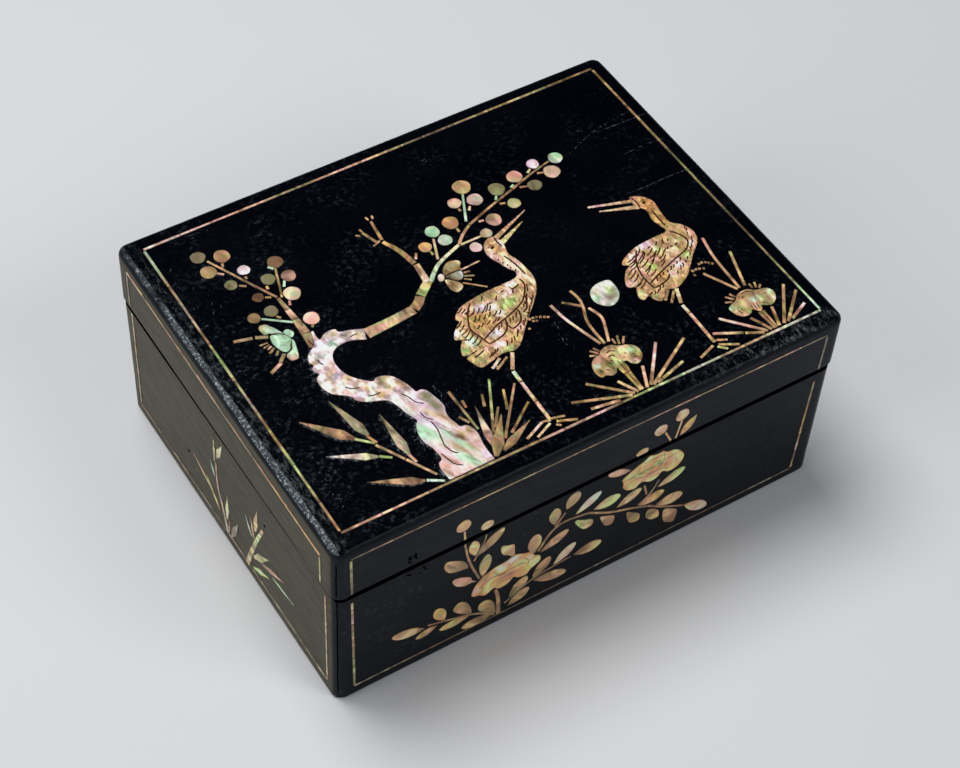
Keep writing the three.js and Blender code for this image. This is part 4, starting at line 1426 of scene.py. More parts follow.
# Rows of feather cuts: guide line, spacing, length, lean
FEATHER_ROWS = (
    (((-18, -11.6), (-15.4, -13.4), (-14.6, -16)), 1.2, 2.6, 0.45),
    (((-13, -15.6), (-9, -16.6), (-5, -17.2)), 1.7, 3.4, 0.75),
    (((-15, -19), (-9, -20), (-3, -20.8)), 2, 3, 0.7),
    (((-15.6, -23), (-10, -23.4), (-5, -23.8)), 2.2, 2.6, 0.6),
    (((-23, -18.4), (-22.8, -22), (-22, -27), (-20.6, -31)), 1.9, 3.8, 0.5),
    (((-19.4, -39), (-17, -38.4), (-14, -37.4)), 1.4, 2.2, 0.75),
    (((-9.4, -37.4), (-5, -36.4), (-1, -33.4), (4, -30.2), (10, -24.6), (15, -19)), 2, 2.4, 1.05),
    (((-8, -28.4), (-5, -27.4), (0, -26.4), (4, -25.2)), 1.9, 2.6, 1.05),
    (((8, -22.4), (11, -20), (16, -13)), 1.8, 2, 1.05), (((13.2, 6), (15.4, 0), (16.6, -5)), 2, 1, 1.1),
    (((61.2, -22.8), (60.8, -25.6), (60, -28)), 1.5, 4.8, 0.5),
    (((66, -22.6), (65.6, -25.4), (64.8, -28.6)), 1.8, 5.4, 0.58),
    (((71, -23.8), (70.6, -27), (69.2, -30)), 1.8, 5, 0.6),
    (((74.4, -26), (74, -29), (72.6, -31.8)), 1.9, 4, 0.6),
    (((64.6, -31), (64.8, -33.4), (65.4, -35.6)), 1.8, 5, 0.6),
    (((56.6, -29.4), (56.6, -32), (57, -37), (57.2, -40)), 2, 4.2, 0.5),
    (((60.4, -44.6), (63, -43.6), (66, -42.6)), 1.8, 2, 0.8),
    (((66, -38.6), (70, -37.2), (76, -35.6), (82, -33.4)), 2, 2, 1.0),
    (((76, -39.4), (82, -36.4), (88, -32.4), (93.4, -26)), 2, 2, 1.05),
    (((78, -25.6), (81, -25), (86, -24.6)), 2.2, 1.8, 0.6),
    (((93.4, -22), (94.4, -20), (94.6, -18)), 1.6, 1.4, 0.9),
)


def cut_cranes(cuts):
    for points in CRANE_LINES:
        cuts.line(TOP_FACE, points, CRANE_CUT)
    for u, v in CRANE_EYES:
        cuts.lay(TOP_FACE, oval(u, v, 1.15, 0.85, 0.4, 14), "brown", lift=ENGRAVED)
        cuts.line(TOP_FACE, ((u - 2.1, v + 0.2), (u, v + 1.7), (u + 2, v + 0.6)), BROW_CUT)
    for guide, spacing, length, lean in FEATHER_ROWS:
        cuts.ticks(TOP_FACE, guide, spacing, length * FEATHER_LONG, lean)


# Irises from the side: a cap with a lobe at each end, on a stem

LEFT_IRIS = (
    (22.5, -58.9), (25.7, -58), (28.5, -58.4), (31.1, -60.3), (34.6, -61.5), (37, -63.7), (37.6, -66.9),
    (36.8, -69.6), (34.5, -71.8), (32, -72.3), (30.1, -70.8), (29.1, -68.7), (26, -69), (23.4, -70.2),
    (22.1, -72), (19.5, -72.5), (17.3, -71.2), (15.1, -71.3), (14.1, -68.2), (14.5, -65.3),
    (15.9, -62.6), (18.4, -60.9), (21.2, -60.3),
)
LEFT_IRIS_SPOTS = (
    (20, -62.8, 3, 1.8, "pink"), (16.8, -65.4, 1.6, 1.6, "mint"), (17, -66, 1, 1, "white"),
    (15.4, -69.6, 1.6, 1.4, "gold"), (21, -70.4, 2, 1.2, "olive"), (22, -67.6, 2, 1, "green"),
    (31, -63, 2.4, 1.6, "green"), (34.2, -64.6, 2, 1.2, "mint"), (32.6, -62, 2, 1, "pink"),
    (35.6, -69.4, 1.6, 1.6, "gold"), (33, -70.4, 1.8, 1.2, "rose"), (26, -59.6, 3, 1.4, "brown"),
)
LEFT_IRIS_STAMENS = (
    ((18.7, -56.7), (21.3, -59.8)), ((20.8, -56.2), (22.3, -58.8)), ((17.2, -59), (20.3, -60.4)),
    ((30.7, -55.7), (30.5, -58.8)), ((33.5, -55.3), (31.7, -59.8)), ((35.8, -57), (33.2, -60.3)),
)
RIGHT_IRIS = (
    (83.6, -66.4), (86.1, -65.1), (88.8, -64.1), (90.7, -62.2), (93.7, -61.1), (97.2, -61.5),
    (99.9, -63.5), (102.3, -64), (104.8, -65), (106.2, -67), (106, -69.6), (104.3, -72.2),
    (101.8, -73.7), (99.4, -73.4), (97, -72), (95.9, -73.9), (94.2, -74.4), (92.1, -72), (90.7, -73.2),
    (88.4, -73.8), (85.9, -73.1), (84.3, -71.1), (83.5, -68.5),
)
RIGHT_IRIS_SPOTS = (
    (84.4, -66.8, 1.6, 1.4, "mint"), (88.3, -68, 1.8, 1.6, "green"), (87.2, -73.1, 2, 0.9, "pink"),
    (90.1, -72.4, 1.4, 1, "green"), (92, -63.6, 3, 1.6, "brown"), (98.8, -64.7, 3, 1.2, "brown"),
    (96.6, -67.6, 2.6, 1.4, "mint"), (100, -68.6, 2, 1.6, "green"), (104.7, -67, 1.2, 1.4, "mint"),
    (99.3, -72.2, 1.6, 0.9, "green"), (104, -71, 1.4, 1.6, "rose"), (102, -70, 1.2, 1.2, "brown"),
    (94.3, -71, 1.4, 1.6, "pink"), (95, -73.4, 1, 0.8, "orange"), (86, -69.6, 1.2, 1.2, "cream"),
)
RIGHT_IRIS_STAMENS = (
    ((88.6, -59.9), (89.9, -62.6)), ((86, -60.4), (88.6, -63.6)), ((84.1, -63), (87, -64.2)),
    ((99.5, -59.2), (99.4, -62)), ((102.1, -59.6), (101, -62.6)), ((103.7, -61.9), (102, -63.4)),
)
IRIS_CUTS = (
    ((24.1, -61.3), (26, -60.8), (28, -62.1)), ((23.5, -63.5), (25.4, -63.1), (26.2, -64.6)),
    ((21.8, -65.6), (23.6, -67.5)), ((23.2, -64.8), (24.5, -66.7)), ((29, -66.2), (29.7, -67.2)),
    ((33.7, -66.6), (34.2, -67.6)), ((33.3, -68.2), (33.8, -69)), ((32.1, -70.4), (32.6, -71.2)),
    ((16.8, -67.4), (16.9, -69.5)), ((19.2, -68.4), (20.2, -69.8)), ((30.6, -64.6), (31.4, -65.4)),
    ((93.1, -62.4), (95.7, -62.3), (97.4, -63.4)), ((91.4, -64.8), (93.4, -64)),
    ((86.4, -69.4), (86.7, -70.6), (87.4, -71.7)), ((87.7, -69), (88.2, -70.8)),
    ((94.3, -69.5), (94, -72.9)), ((95.6, -69.9), (95.2, -73.1)), ((92.8, -69.6), (92.6, -71.4)),
    ((101.6, -66.4), (103, -67.6)), ((98, -70.6), (99, -71.8)),
)
# Tall stalks of grass: points and shade
TALL_GRASS = (
    (((18.7, -27.1), (20.1, -37.9), (25.1, -55.7)), "rose"),
    (((30.5, -24.3), (31.2, -30), (30.1, -35), (26.9, -43.6), (26.6, -56.4)), "tan"),
    (((23.7, -28.2), (30.1, -34.3)), "brown"),
    (((31.9, -36.4), (33.7, -42.1), (33, -46.4), (28.7, -56.4)), "pink"),
    (((98.1, -27.1), (95.6, -40), (94.7, -59.2)), "pink"), (((85.9, -44.6), (93.6, -59.4)), "tan"),
    (((103.8, -39.6), (97.4, -59.4)), "olive"),
)
# Blades of grass: tip, base and shade
IRIS_BLADES = (
    ((-3.4, -76.1), (20.9, -85.3), "brown"), ((7.3, -70.7), (22.3, -85), "tan"),
    ((1.9, -82.9), (15.1, -85), "pink"), ((19.6, -76.1), (24.1, -85), "tan"),
    ((33.4, -74.3), (28.4, -85), "pink"), ((45.6, -66.4), (30.5, -84.6), "rose"),
    ((57.4, -70.4), (31.6, -85), "tan"), ((49.5, -80.7), (33.7, -85), "olive"),
    ((76.3, -68.9), (90.6, -85), "rose"), ((69.1, -74.6), (80.9, -80.7), "pink"),
    ((81.3, -81.1), (88.8, -85), "tan"), ((88.4, -75.4), (92.7, -85), "brown"),
    ((100.2, -74.6), (96.6, -85), "tan"), ((112.4, -66.8), (99.1, -85), "tan"),
    ((115.2, -72.1), (101.3, -85), "brown"), ((113.8, -80), (103.8, -84.6), "rose"),
)
# The tongue over a cap, from the iris's middle: points of (u, v, width)
IRIS_TONGUE = ((-0.6, 2, 1.8), (-0.2, -1, 3), (0, -5.6, 4.4), (0, -8.6, 3.4))
# Cuts down the tongue and the stem: from where to where
TONGUE_CUT = (-1, -7.6)
STEM_CUT = (-9, -17)


def lay_iris(inlay, cuts, cap, spots, stamens, u, v, shade, tongue_shades=()):
    """An iris. Where tongue shades are given, a tongue hangs over its cap into the stem."""
    inlay.lay(TOP_FACE, outline(*cap), "tan", "olive", along=((u - 10, v), (u + 10, v)), spots=spots)
    notches = [STEM_CUT]
    if tongue_shades:
        tongue = band(*((u + across, v + up, width) for across, up, width in IRIS_TONGUE))
        inlay.lay(TOP_FACE, tongue, *tongue_shades, lift=0.01, along=((u, v + 4), (u, v - 9)))
        notches.insert(0, TONGUE_CUT)
    stem = stick((u, v - 8.8), (u, v - 19.4), 3.3, 2.3)
    inlay.lay(TOP_FACE, stem, shade, "tan", along=((u, v - 9), (u, v - 19)))
    for low, high in notches:
        cuts.line(TOP_FACE, ((u - 0.1, v + low), (u + 0.1, v + high)), IRIS_CUT)
    for start, end in stamens:
        inlay.bar(TOP_FACE, start, end, (TWIG,), "tan", "brown")


def make_irises(cuts):
    inlay = Inlay(IRIS_BRIGHT)
    lay_iris(inlay, cuts, LEFT_IRIS, LEFT_IRIS_SPOTS, LEFT_IRIS_STAMENS, 25.9, -65.4, "gold",
             ("tan", "green", "gold"))
    lay_iris(inlay, cuts, RIGHT_IRIS, RIGHT_IRIS_SPOTS, RIGHT_IRIS_STAMENS, 94.6, -65.8, "sand")
    for points in IRIS_CUTS:
        cuts.line(TOP_FACE, points, IRIS_CUT)
    for points, shade in TALL_GRASS:
        inlay.bough(TOP_FACE, [(*point, GRASS) for point in points], shade, "tan")
    for tip, base, shade in IRIS_BLADES:
        inlay.bar(TOP_FACE, tip, base, (GRASS, 1.6), shade, "tan")
    inlay.finish("iris_shell", NACRE, "nacre", "left_iris", "right_iris")


# The bamboo: leaves of tip, base, width and two shades, and stems of two ends and a shade
BAMBOO_LEAVES = (
    ((-103.9, -29.5), (-88.7, -48.4), 5.2, "tan", "sand"),
    ((-88.2, -26.2), (-83.2, -49.4), 4.8, "olive", "grey"),
    ((-103, -50.4), (-85.2, -60.7), 3.8, "white", "olive"),
    ((-73.9, -42.1), (-74, -65.8), 4.6, "olive", "grey"),
    ((-95.4, -69.6), (-75.2, -80.4), 4.2, "tan", "brown"),
)
BAMBOO_STEMS = (
    ((-88.9, -48.2), (-82.8, -54.3), "green"), ((-83.9, -49.4), (-82.1, -54.3), "orange"),
    ((-83.1, -55), (-76.6, -67), "tan"), ((-76.4, -67.4), (-69.6, -80), "tan"),
    ((-84.9, -60.7), (-80.6, -63.9), "green"), ((-74.2, -65.7), (-73.3, -70.7), "pink"),
    ((-74.7, -80.4), (-68.5, -84.3), "mint"),
)
# The tuft of grass: broad leaves of tip, base, width and shade, and blades of two ends and a shade
TUFT_LEAVES = (
    ((-38.2, -57.9), (-42.8, -79.6), 3.8, "rose"), ((-22.6, -75), (-40.3, -83.2), 4.2, "tan"),
    ((-31.2, -66.8), (-44.6, -84.2), 5.6, "tan"),
)
TUFT_BLADES = (
    ((-39.1, -73.6), (-25.6, -48.6), "green"), ((-34.9, -60), (-32.4, -53.9), "brown"),
    ((-37, -71.4), (-30.2, -62.9), "brown"), ((-27.7, -66.1), (-23.4, -56.1), "gold"),
    ((-36.6, -78.2), (-17.7, -55.7), "tan"), ((-32.7, -77.1), (-18.1, -66.8), "gold"),
    ((-43.6, -45.9), (-43.4, -68.8), "olive"), ((-46.8, -59.3), (-44.7, -64.2), "olive"),
    ((-41.2, -52.7), (-41.7, -56.9), "orange"),
)
PEARL = (
    (36, -33), (37.2, -29.6), (40, -27.4), (43.6, -26.6), (48.2, -27.2), (49, -30.2), (48.8, -33.6),
    (47.6, -36.8), (44.8, -39.4), (41.4, -40.4), (38.4, -38.8), (36.4, -36),
)
PEARL_SPOTS = (
    (40, -30, 3, 3, "white"), (47, -29, 2, 2, "white"), (43.5, -36, 3, 2.4, "grey"),
    (39, -37, 2, 2, "white"), (45.4, -32.6, 2, 3, "green"), (37.6, -33.4, 1.6, 2.4, "mint"),
)


def make_bamboo_and_pearl():
    inlay = Inlay()
    for tip, base, width, start, end in BAMBOO_LEAVES:
        inlay.lay(TOP_FACE, blade(tip, base, width), start, end, along=(tip, base))
    for start, end, shade in BAMBOO_STEMS:
        inlay.bar(TOP_FACE, start, end, (GRASS, 1.2), shade)
    inlay.finish("bamboo_shell", NACRE, "nacre")

    inlay = Inlay()
    for tip, base, width, shade in TUFT_LEAVES:
        inlay.lay(TOP_FACE, blade(tip, base, width, 0.7), shade, "brown", along=(tip, base))
    for start, end, shade in TUFT_BLADES:
        inlay.bar(TOP_FACE, start, end, (GRASS, 1.1), "brown", shade)
    inlay.finish("grass_tuft", NACRE, "nacre")

    inlay = Inlay()
    inlay.lay(TOP_FACE, outline(*PEARL), "silver", spots=PEARL_SPOTS)
    inlay.finish("pearl_shell", PALE_NACRE, "pale_nacre", "pearl")


# The peonies on the front, with their leaves, stems and buds

LEFT_PEONY = (
    (-59.4, 32), (-57.6, 37.4), (-53.6, 41.4), (-48.4, 43.6), (-43.4, 44.2), (-38.6, 45.8), (-34, 43.6),
    (-30.4, 42), (-28.4, 38.6), (-25.6, 36.4), (-25, 33), (-27.4, 30.8), (-29.6, 29.6), (-31.8, 27),
    (-35.6, 27.4), (-38.4, 29.6), (-41, 27), (-45.6, 26.4), (-48.2, 28.6), (-52.4, 26.4), (-55.4, 28.4),
    (-58.6, 29.8),
)
LEFT_PEONY_SPOTS = (
    (-45, 41, 4.6, 1.6, "pink"), (-39.4, 43, 3.4, 1.6, "rose"), (-47, 39, 2.6, 1.4, "green"),
    (-36, 38.6, 3.4, 1.6, "green"), (-31, 38.6, 3, 2, "pink"), (-27.4, 34, 2, 2.4, "green"),
    (-57, 33, 2.4, 2.4, "pink"), (-51, 30, 4, 3, "gold"), (-42.6, 28.4, 3.6, 1.6, "gold"),
    (-42, 34, 6, 2.4, "brown"), (-32, 30, 3.4, 2, "gold"), (-53, 38, 3.4, 2.6, "tan"),
)
RIGHT_PEONY = (
    (14, 62.4), (17.6, 65.2), (21.6, 67.2), (25, 68.8), (27.2, 70.4), (31, 69.2), (34.4, 69.4),
    (36.4, 67.4), (40.4, 66.6), (44, 63.6), (46.4, 59), (45.2, 55), (42.2, 52.6), (38.6, 52.6),
    (35.6, 54.6), (33, 52), (29.6, 51.4), (26.6, 53.2), (24.4, 53.8), (21.4, 51.8), (17.6, 53),
    (15, 56.2), (14.8, 59.6),
)
RIGHT_PEONY_SPOTS = (
    (28, 68.4, 3.4, 1.3, "green"), (33, 65, 2.4, 2, "gold"), (22, 65, 4, 2, "tan"),
    (18, 62.4, 3, 1.6, "green"), (26, 63, 4.6, 1.6, "orange"), (24, 60.4, 5, 1.4, "green"),
    (33, 62, 3, 1.6, "green"), (40, 61, 3.6, 3, "tan"), (41, 65.6, 3, 1.3, "green"),
    (30, 53, 3.6, 1.4, "green"), (40, 55.4, 3.6, 2, "gold"), (19, 56.6, 3, 2.6, "gold"),
    (27, 57, 4, 2, "brown"),
)
PEONY_FOLDS = (
    ((-48, 29), (-45, 31), (-41.4, 30.2), (-38, 30.8)),
    ((-56, 34), (-50.4, 37), (-44, 36.4), (-38, 37.4), (-32, 36)),
    ((-34, 40.4), (-31.6, 37.4), (-31.4, 33.6)),
    ((17, 57.2), (22, 58.6), (26.6, 57), (33, 57.6), (38, 56)),
    ((20, 62), (27, 61), (34, 62), (40, 63.2)), ((24.6, 66.6), (31, 67.2), (37, 65.6)),
    ((35, 68.6), (35.4, 64), (34.4, 60)),
)
# Leaves: tip, base, width and shade
FRONT_LEAVES = (
    ((-60.2, 70.3), (-58.9, 59.5), 5.4, "gold"), ((-45.3, 69.9), (-57.7, 58.7), 6, "tan"),
    ((-52.7, 56.2), (-54.5, 41.2), 6, "olive"), ((-98.1, 28.7), (-81.8, 23.7), 6, "tan"),
    ((-76.8, 33.7), (-72.3, 22.8), 6, "gold"), ((-86.4, 19.1), (-75.6, 21.6), 4.5, "tan"),
    ((-74.8, 17), (-59.8, 16.6), 5, "gold"), ((-63.5, 9.9), (-47.7, 9.1), 6, "tan"),
    ((5.9, 71.2), (18, 66.6), 4.5, "pink"), ((-19.9, 65.3), (-19.5, 53.7), 6, "tan"),
    ((-8.7, 69.9), (-14.1, 60.8), 7, "olive"), ((3.4, 62), (-9.1, 53.7), 5.5, "silver"),
    ((14.3, 52), (0.5, 50.8), 7, "green"), ((-28.7, 53.3), (-29.1, 39.5), 7, "tan"),
    ((-11.6, 45.3), (-25.8, 38.3), 6, "tan"), ((25.5, 49.5), (13, 43.7), 6, "olive"),
    ((38.7, 39.1), (25.1, 37), 6.5, "orange"), ((-19.9, 31.6), (-28.3, 21.6), 6.5, "tan"),
    ((-7, 32.8), (-17.8, 23.7), 6, "rose"), ((7.3, 23.7), (-7.4, 23.7), 7, "tan"),
    ((-10.3, 13.7), (-27.8, 19.5), 6.5, "tan"), ((-31.2, 25.3), (-39.9, 15.8), 6.5, "tan"),
    ((-29.5, 15.8), (-40.3, 9.5), 6.5, "tan"), ((48.3, 49.5), (34.5, 44.1), 6, "green"),
    ((49.7, 29.5), (35.1, 31.2), 7.5, "tan"), ((65.3, 10.3), (51.6, 19.9), 6.5, "pink"),
)
# Leaves cut as rounded squares and domes: shade and outline
FRONT_CUPS = (
    ("tan", ((-73.9, 62.3), (-72.8, 64.5), (-68.9, 63), (-64.1, 59.2), (-61.9, 53.7), (-64.4, 53.7),
     (-70.2, 55.4), (-73.1, 58.9))),
    ("pink", ((-69.4, 48.2), (-67, 49.3), (-60.8, 45.7), (-59.5, 42.6), (-57.4, 40.2), (-60.4, 41),
     (-63.3, 41), (-67.5, 43.9))),
    ("olive", ((-46.2, 55), (-45.4, 56.9), (-42.3, 55.2), (-39.5, 53.9), (-38.9, 48.9), (-39, 44.8),
     (-42.1, 48), (-45, 50.5))),
    ("tan", ((-68.2, 26.1), (-66.7, 29.6), (-63.8, 29.9), (-60.7, 26.2), (-59, 20.8), (-59.2, 17.6),
     (-63.9, 20.9))),
    ("tan", ((-55.6, 17.9), (-54.5, 21.9), (-51, 21.9), (-47.7, 18), (-46.5, 12.2), (-46.5, 8.7),
     (-52, 13.3))),
    ("green", ((-8.6, 47.4), (-7.6, 48.9), (-3.8, 46.6), (0.5, 44.2), (0.9, 40.7), (-2.1, 39.4),
     (-5, 41.3))),
    ("tan", ((4.8, 42.6), (8, 41.4), (12.3, 38.8), (12.5, 35), (11, 33.1), (7.7, 34.8), (5.8, 38.7))),
    ("brown", ((19.2, 36.2), (22.4, 34.2), (26.5, 30.5), (26.7, 26.7), (24.4, 25.9), (21.6, 27.4),
     (20, 30.8))),
    ("olive", ((30.1, 27.3), (31.4, 30), (34.2, 28.8), (37.3, 25.4), (37.7, 21), (34.2, 21),
     (31.1, 23.9))),
    ("tan", ((40.3, 23.9), (44.2, 22.3), (48.1, 18.8), (48, 13.9), (46.8, 10.9), (42.1, 13.7),
     (40.3, 18.3))),
)
FRONT_STEMS = (
    ((-46.8, 7.8, 1.2), (-56, 15.3, 1.2), (-67.7, 20.3, 1.1), (-80.6, 24.9, 1)),
    ((-56, 41.2, 1.2), (-60.2, 52.8, 1.2), (-62.7, 62, 1.1), (-64.3, 71.2, 1)),
    ((-59.3, 56.2, 0.9), (-55, 66.2, 0.8), (-54, 71, 0.8)),
    ((-44.8, 7, 2.4), (-45.6, 19.5, 2), (-47.3, 27, 1.6)),
    ((-42, 12.8, 1.2), (-34.5, 17.8, 1.2), (-25.3, 21.6, 1.1), (-8.7, 23.7, 1)),
    ((-26.6, 39.9, 1.4), (-22.8, 47, 1.5), (-18.7, 51.2, 1.5), (-12.8, 52.4, 1.4), (-2, 50.3, 1.4)),
    ((-1.8, 50.2, 1.4), (9.7, 42.8, 1.4), (21.3, 37.8, 1.3), (30.5, 33.3, 1.3)),
    ((30.7, 33.2, 1.3), (40.5, 26.2, 1.2), (51.2, 19.9, 1.1)), ((-19.1, 52, 1.2), (-14.5, 59.1, 1.2)),
    ((26.8, 50.3, 1.1), (28.8, 42.8, 1.1)), ((34.7, 49.5, 1.1), (30.5, 42, 1.1), (24.7, 37.8, 1.1)),
)
FRONT_STALK_SHADES = ("umber", "brown", "dull")
# Buds on the lid: place, reach across and up, and shade
LID_BUDS = (
    (-65.8, 85.3, 3.5, 3.6, "gold"), (-54.3, 78.3, 3.2, 2.7, "tan"), (30.5, 86.2, 3.3, 3.2, "pink"),
    (40.9, 89.9, 3.4, 3.6, "pink"), (22.2, 76.8, 3.2, 2.2, "tan"),
)
LID_STALKS = (((-65.3, 81.4), (-64.8, 75.6)), ((33.2, 83), (36.8, 75.5)), ((41.2, 86), (39.3, 75.5)))
LID_LEAF = ((49, 85.5), (41.6, 76))


def make_front(cuts):
    box = SIDE_FACES["front", "box"]
    lid = SIDE_FACES["front", "lid"]
    inlay = Inlay(FRONT_PAINTED_LIGHT)
    for petals, spots in ((LEFT_PEONY, LEFT_PEONY_SPOTS), (RIGHT_PEONY, RIGHT_PEONY_SPOTS)):
        inlay.lay(box, cut(outline(*petals), None, BOX_HIGHEST), "orange", spots=spots)
    for points in PEONY_FOLDS:
        cuts.line(box, points, FOLD_CUT)
    inlay.finish("peony_shell", SATIN_NACRE, "nacre", "left_peony", "right_peony")

    inlay = Inlay(FRONT_PAINTED_LIGHT)
    leaves = [(cut(leaf(tip, base, width, 0.42, 0.68, 0.9), None, BOX_HIGHEST), shade, (tip, base))
              for tip, base, width, shade in FRONT_LEAVES]
    leaves += [(outline(*points), shade, (points[0], points[3])) for shade, points in FRONT_CUPS]
    for shape, shade, along in leaves:
        inlay.lay(box, shape, shade, "umber" if shade == "tan" else "sand", along=along)
    for points in FRONT_STEMS:
        inlay.bough(box, points, DRAW.choice(FRONT_STALK_SHADES), "umber")
    inlay.finish("peony_leaves", SATIN_NACRE, "nacre")

    inlay = Inlay(FRONT_PAINTED_LIGHT)
    for u, v, radius_u, radius_v, shade in LID_BUDS:
        shape = cut(oval(u, v, radius_u, radius_v), LID_LOWEST)
        inlay.lay(lid, shape, shade, "tan", along=((u, v + 3), (u, v - 3)))
    for start, end in LID_STALKS:
        inlay.bar(lid, start, end, (1,), "tan", "gold")
    inlay.lay(lid, leaf(*LID_LEAF, 5, 0.52), "gold", "orange", along=LID_LEAF)
    inlay.finish("lid_buds", SATIN_NACRE, "nacre")


# Bamboo shoots on the ends and a plain spray on the back

# Leaves: tip, base, width and two shades. Stems: points of (u, v, width) and two shades
LEFT_SHOOTS = (
    ((-8.6, 68.8), (-9.4, 49.2), 2, "green", "brown"),
    ((-0.8, 69.1), (-7.2, 53.9), 3.8, "cream", "olive"),
    ((-13.9, 45.9), (-10.5, 37.6), 1.7, "mint", "mint"),
    ((-31.2, 31.1), (-16.3, 24.3), 1.8, "pink", "tan"),
    ((-20.3, 29.9), (-7.7, 16.6), 2.6, "green", "orange"),
    ((0.8, 36.1), (-0.9, 17.8), 3.4, "green", "cream"), ((1.9, 20.6), (0, 8.5), 2, "brown", "brown"),
    ((10.1, 26.6), (2.4, 8.8), 4.2, "dull", "dull"), ((29, 58.1), (26.2, 40.8), 4, "olive", "gold"),
    ((17.5, 42.4), (22.7, 33), 1.7, "mint", "green"),
    ((22.4, 48.1), (24.9, 33.3), 1.9, "pink", "brown"),
    ((37.5, 33.3), (23.9, 19.2), 4.8, "green", "tan"), ((51.2, 33.3), (31.6, 23.1), 3, "pink", "brown"),
    ((38.1, 20), (22.4, 10), 3.2, "green", "green"), ((58.8, 26.9), (40.5, 24.3), 1.6, "mint", "green"),
)
LEFT_STEMS = (
    (((-8.2, 49.4, 1.3), (-8.2, 34.1, 1.6), (-4.2, 20.7, 2), (-0.9, 7.4, 2.4)), "brown", "grey"),
    (((33.4, 49.3, 2), (27.3, 35.5, 2.4)), "tan", "green"),
    (((27.1, 35, 2.4), (21, 18.8, 2.8)), "green", "gold"),
    (((20.8, 18.4, 2.9), (16.8, 6.2, 3.1)), "green", "tan"),
)
# Each end's side, direction, and number of leaves and stems
ENDS = (("left", 1, 15, 4), ("right", -1, 8, 1))


def make_shoots():
    for side, turned, leaves, stems in ENDS:
        face = SIDE_FACES[side, "box"]
        inlay = Inlay(LEFT_PAINTED_LIGHT if side == "left" else 1.0)
        for points, start, end in LEFT_STEMS[:stems]:
            inlay.bough(face, [(u * turned, v, width) for u, v, width in points], start, end)
        for tip, base, width, start, end in LEFT_SHOOTS[:leaves]:
            tip = (tip[0] * turned, tip[1])
            base = (base[0] * turned, base[1])
            inlay.lay(face, blade(tip, base, width, 0.6), start, end, lift=0.01, along=(tip, base))
        inlay.finish(f"{side}_shoots", NACRE, "nacre")

    face = SIDE_FACES["back", "box"]
    inlay = Inlay()
    for points in FRONT_STEMS[5:8]:
        inlay.bough(face, points, "tan")
    for tip, base, width, shade in FRONT_LEAVES[9:17]:
        inlay.lay(face, leaf(tip, base, width, 0.52), shade, "tan", along=(tip, base))
    inlay.finish("back_spray", NACRE, "nacre")


# Marks of use

SCRATCHES = (
    ((75.6, 44.9), (92, 51.4), (106.3, 54.2), (116.3, 55.3)), ((95.6, 51), (109, 50.6), (123, 50.3)),
    ((85, 11.6), (96, 11.2), (106, 11.4), (120, 10.8)), ((98, 33), (108, 33.4), (120, 32.8)),
)
# Patches of fine scratches on the top: place, reach across and up, number
SCUFFS = (
    (13, -44, 1.2, 4.4, 14), (22, 73, 4, 0.9, 9), (-90, 83.5, 5, 1, 12), (-110, -72, 3, 2, 14),
    (86.6, 56, 0.8, 0.5, 4), (90, -42, 3, 2.4, 8), (4, -79, 2.4, 1, 7), (-104, 50, 3, 8, 10),
    (-96, -10, 6, 10, 12), (92, -91, 16, 0.9, 14), (-47.4, -45, 0.5, 3, 10), (-42, -48, 0.8, 2.4, 6),
    (-112, 60, 2, 8, 8), (-119, 64, 1, 3, 10), (-118, 52, 1, 2.4, 10),
)
# Knots in the front: part, place, reach across and up, number of cracks
KNOTS = (("lid", -89.4, 80.6, 2, 1.5, 9), ("box", -89, 67.6, 3.2, 1.3, 5))
# The crack up the front left corner: part, its half size, and from where to where
CORNER_CRACKS = (("box", BOX_HALF, 4, RIM - 1), ("lid", LID_HALF, LID_FOOT + 1, TOP - 7))
NAIL_HOLES = ((-36, 27.2), (35.3, 55))


def cut_shell(cuts):
    """Cracks in the trunk and cuts in the large blossoms."""
    for points in TRUNK_CRACKS:
        cuts.line(TOP_FACE, points, CRACK_CUT)
    for points in PETAL_CUTS:
        cuts.line(TOP_FACE, points, PETAL_CUT)


def make_scratches():
    """Scratches and scuffs in the lacquer of the top, and bare lacquer beside the shell."""
    marks = Cuts()
    for points in SCRATCHES:
        marks.line(TOP_FACE, points, SCRATCH_CUT, IN_LACQUER)
    for u, v, reach_u, reach_v, count in SCUFFS:
        for _ in range(count):
            here = Vector((u + DRAW.gauss(0, reach_u), v + DRAW.gauss(0, reach_v)))
            here.x = max(SCUFF_LEFT, min(-SCUFF_LEFT, here.x))
            here.y = max(SCUFF_FRONT, min(-SCUFF_FRONT, here.y))
            way = Vector((reach_u, reach_v)).normalized() * DRAW.uniform(0.3, 1.7)
            way.rotate(Matrix.Rotation(DRAW.gauss(0, 0.35), 2))
            bend = Vector((-way.y, way.x)) * DRAW.uniform(-0.2, 0.2)
            marks.line(TOP_FACE, (here - way, here + bend, here + way), DRAW.uniform(0.15, 0.4), IN_LACQUER)
    halo = band(*((u - HALO_SHIFT, v, HALO) for u, v in TRUNK_LEFT))
    marks.lay(TOP_FACE, halo, "grey", lift=IN_LACQUER)
    for u, v in TRUNK_LEFT:
        for _ in range(HALO_CHIPS):
            here = Vector((u - abs(DRAW.gauss(0, 1.3)) - 0.4, v + DRAW.uniform(-2, 2)))
            way = Vector((DRAW.uniform(-0.5, 0.5), DRAW.uniform(-0.5, 0.5)))
            if here.y > SCUFF_FRONT:
                marks.line(TOP_FACE, (here - way, here + way), CHIP_CUT, IN_LACQUER)
    for tip, base, width, _, _ in BAMBOO_LEAVES:
        shape = blade(Vector(tip) - LEAF_SHIFT, Vector(base) - LEAF_SHIFT, width + LEAF_HALO)
        marks.lay(TOP_FACE, shape, "grey", lift=IN_LACQUER)
    marks.finish("top_scratches", SCRATCH, "lacquer")


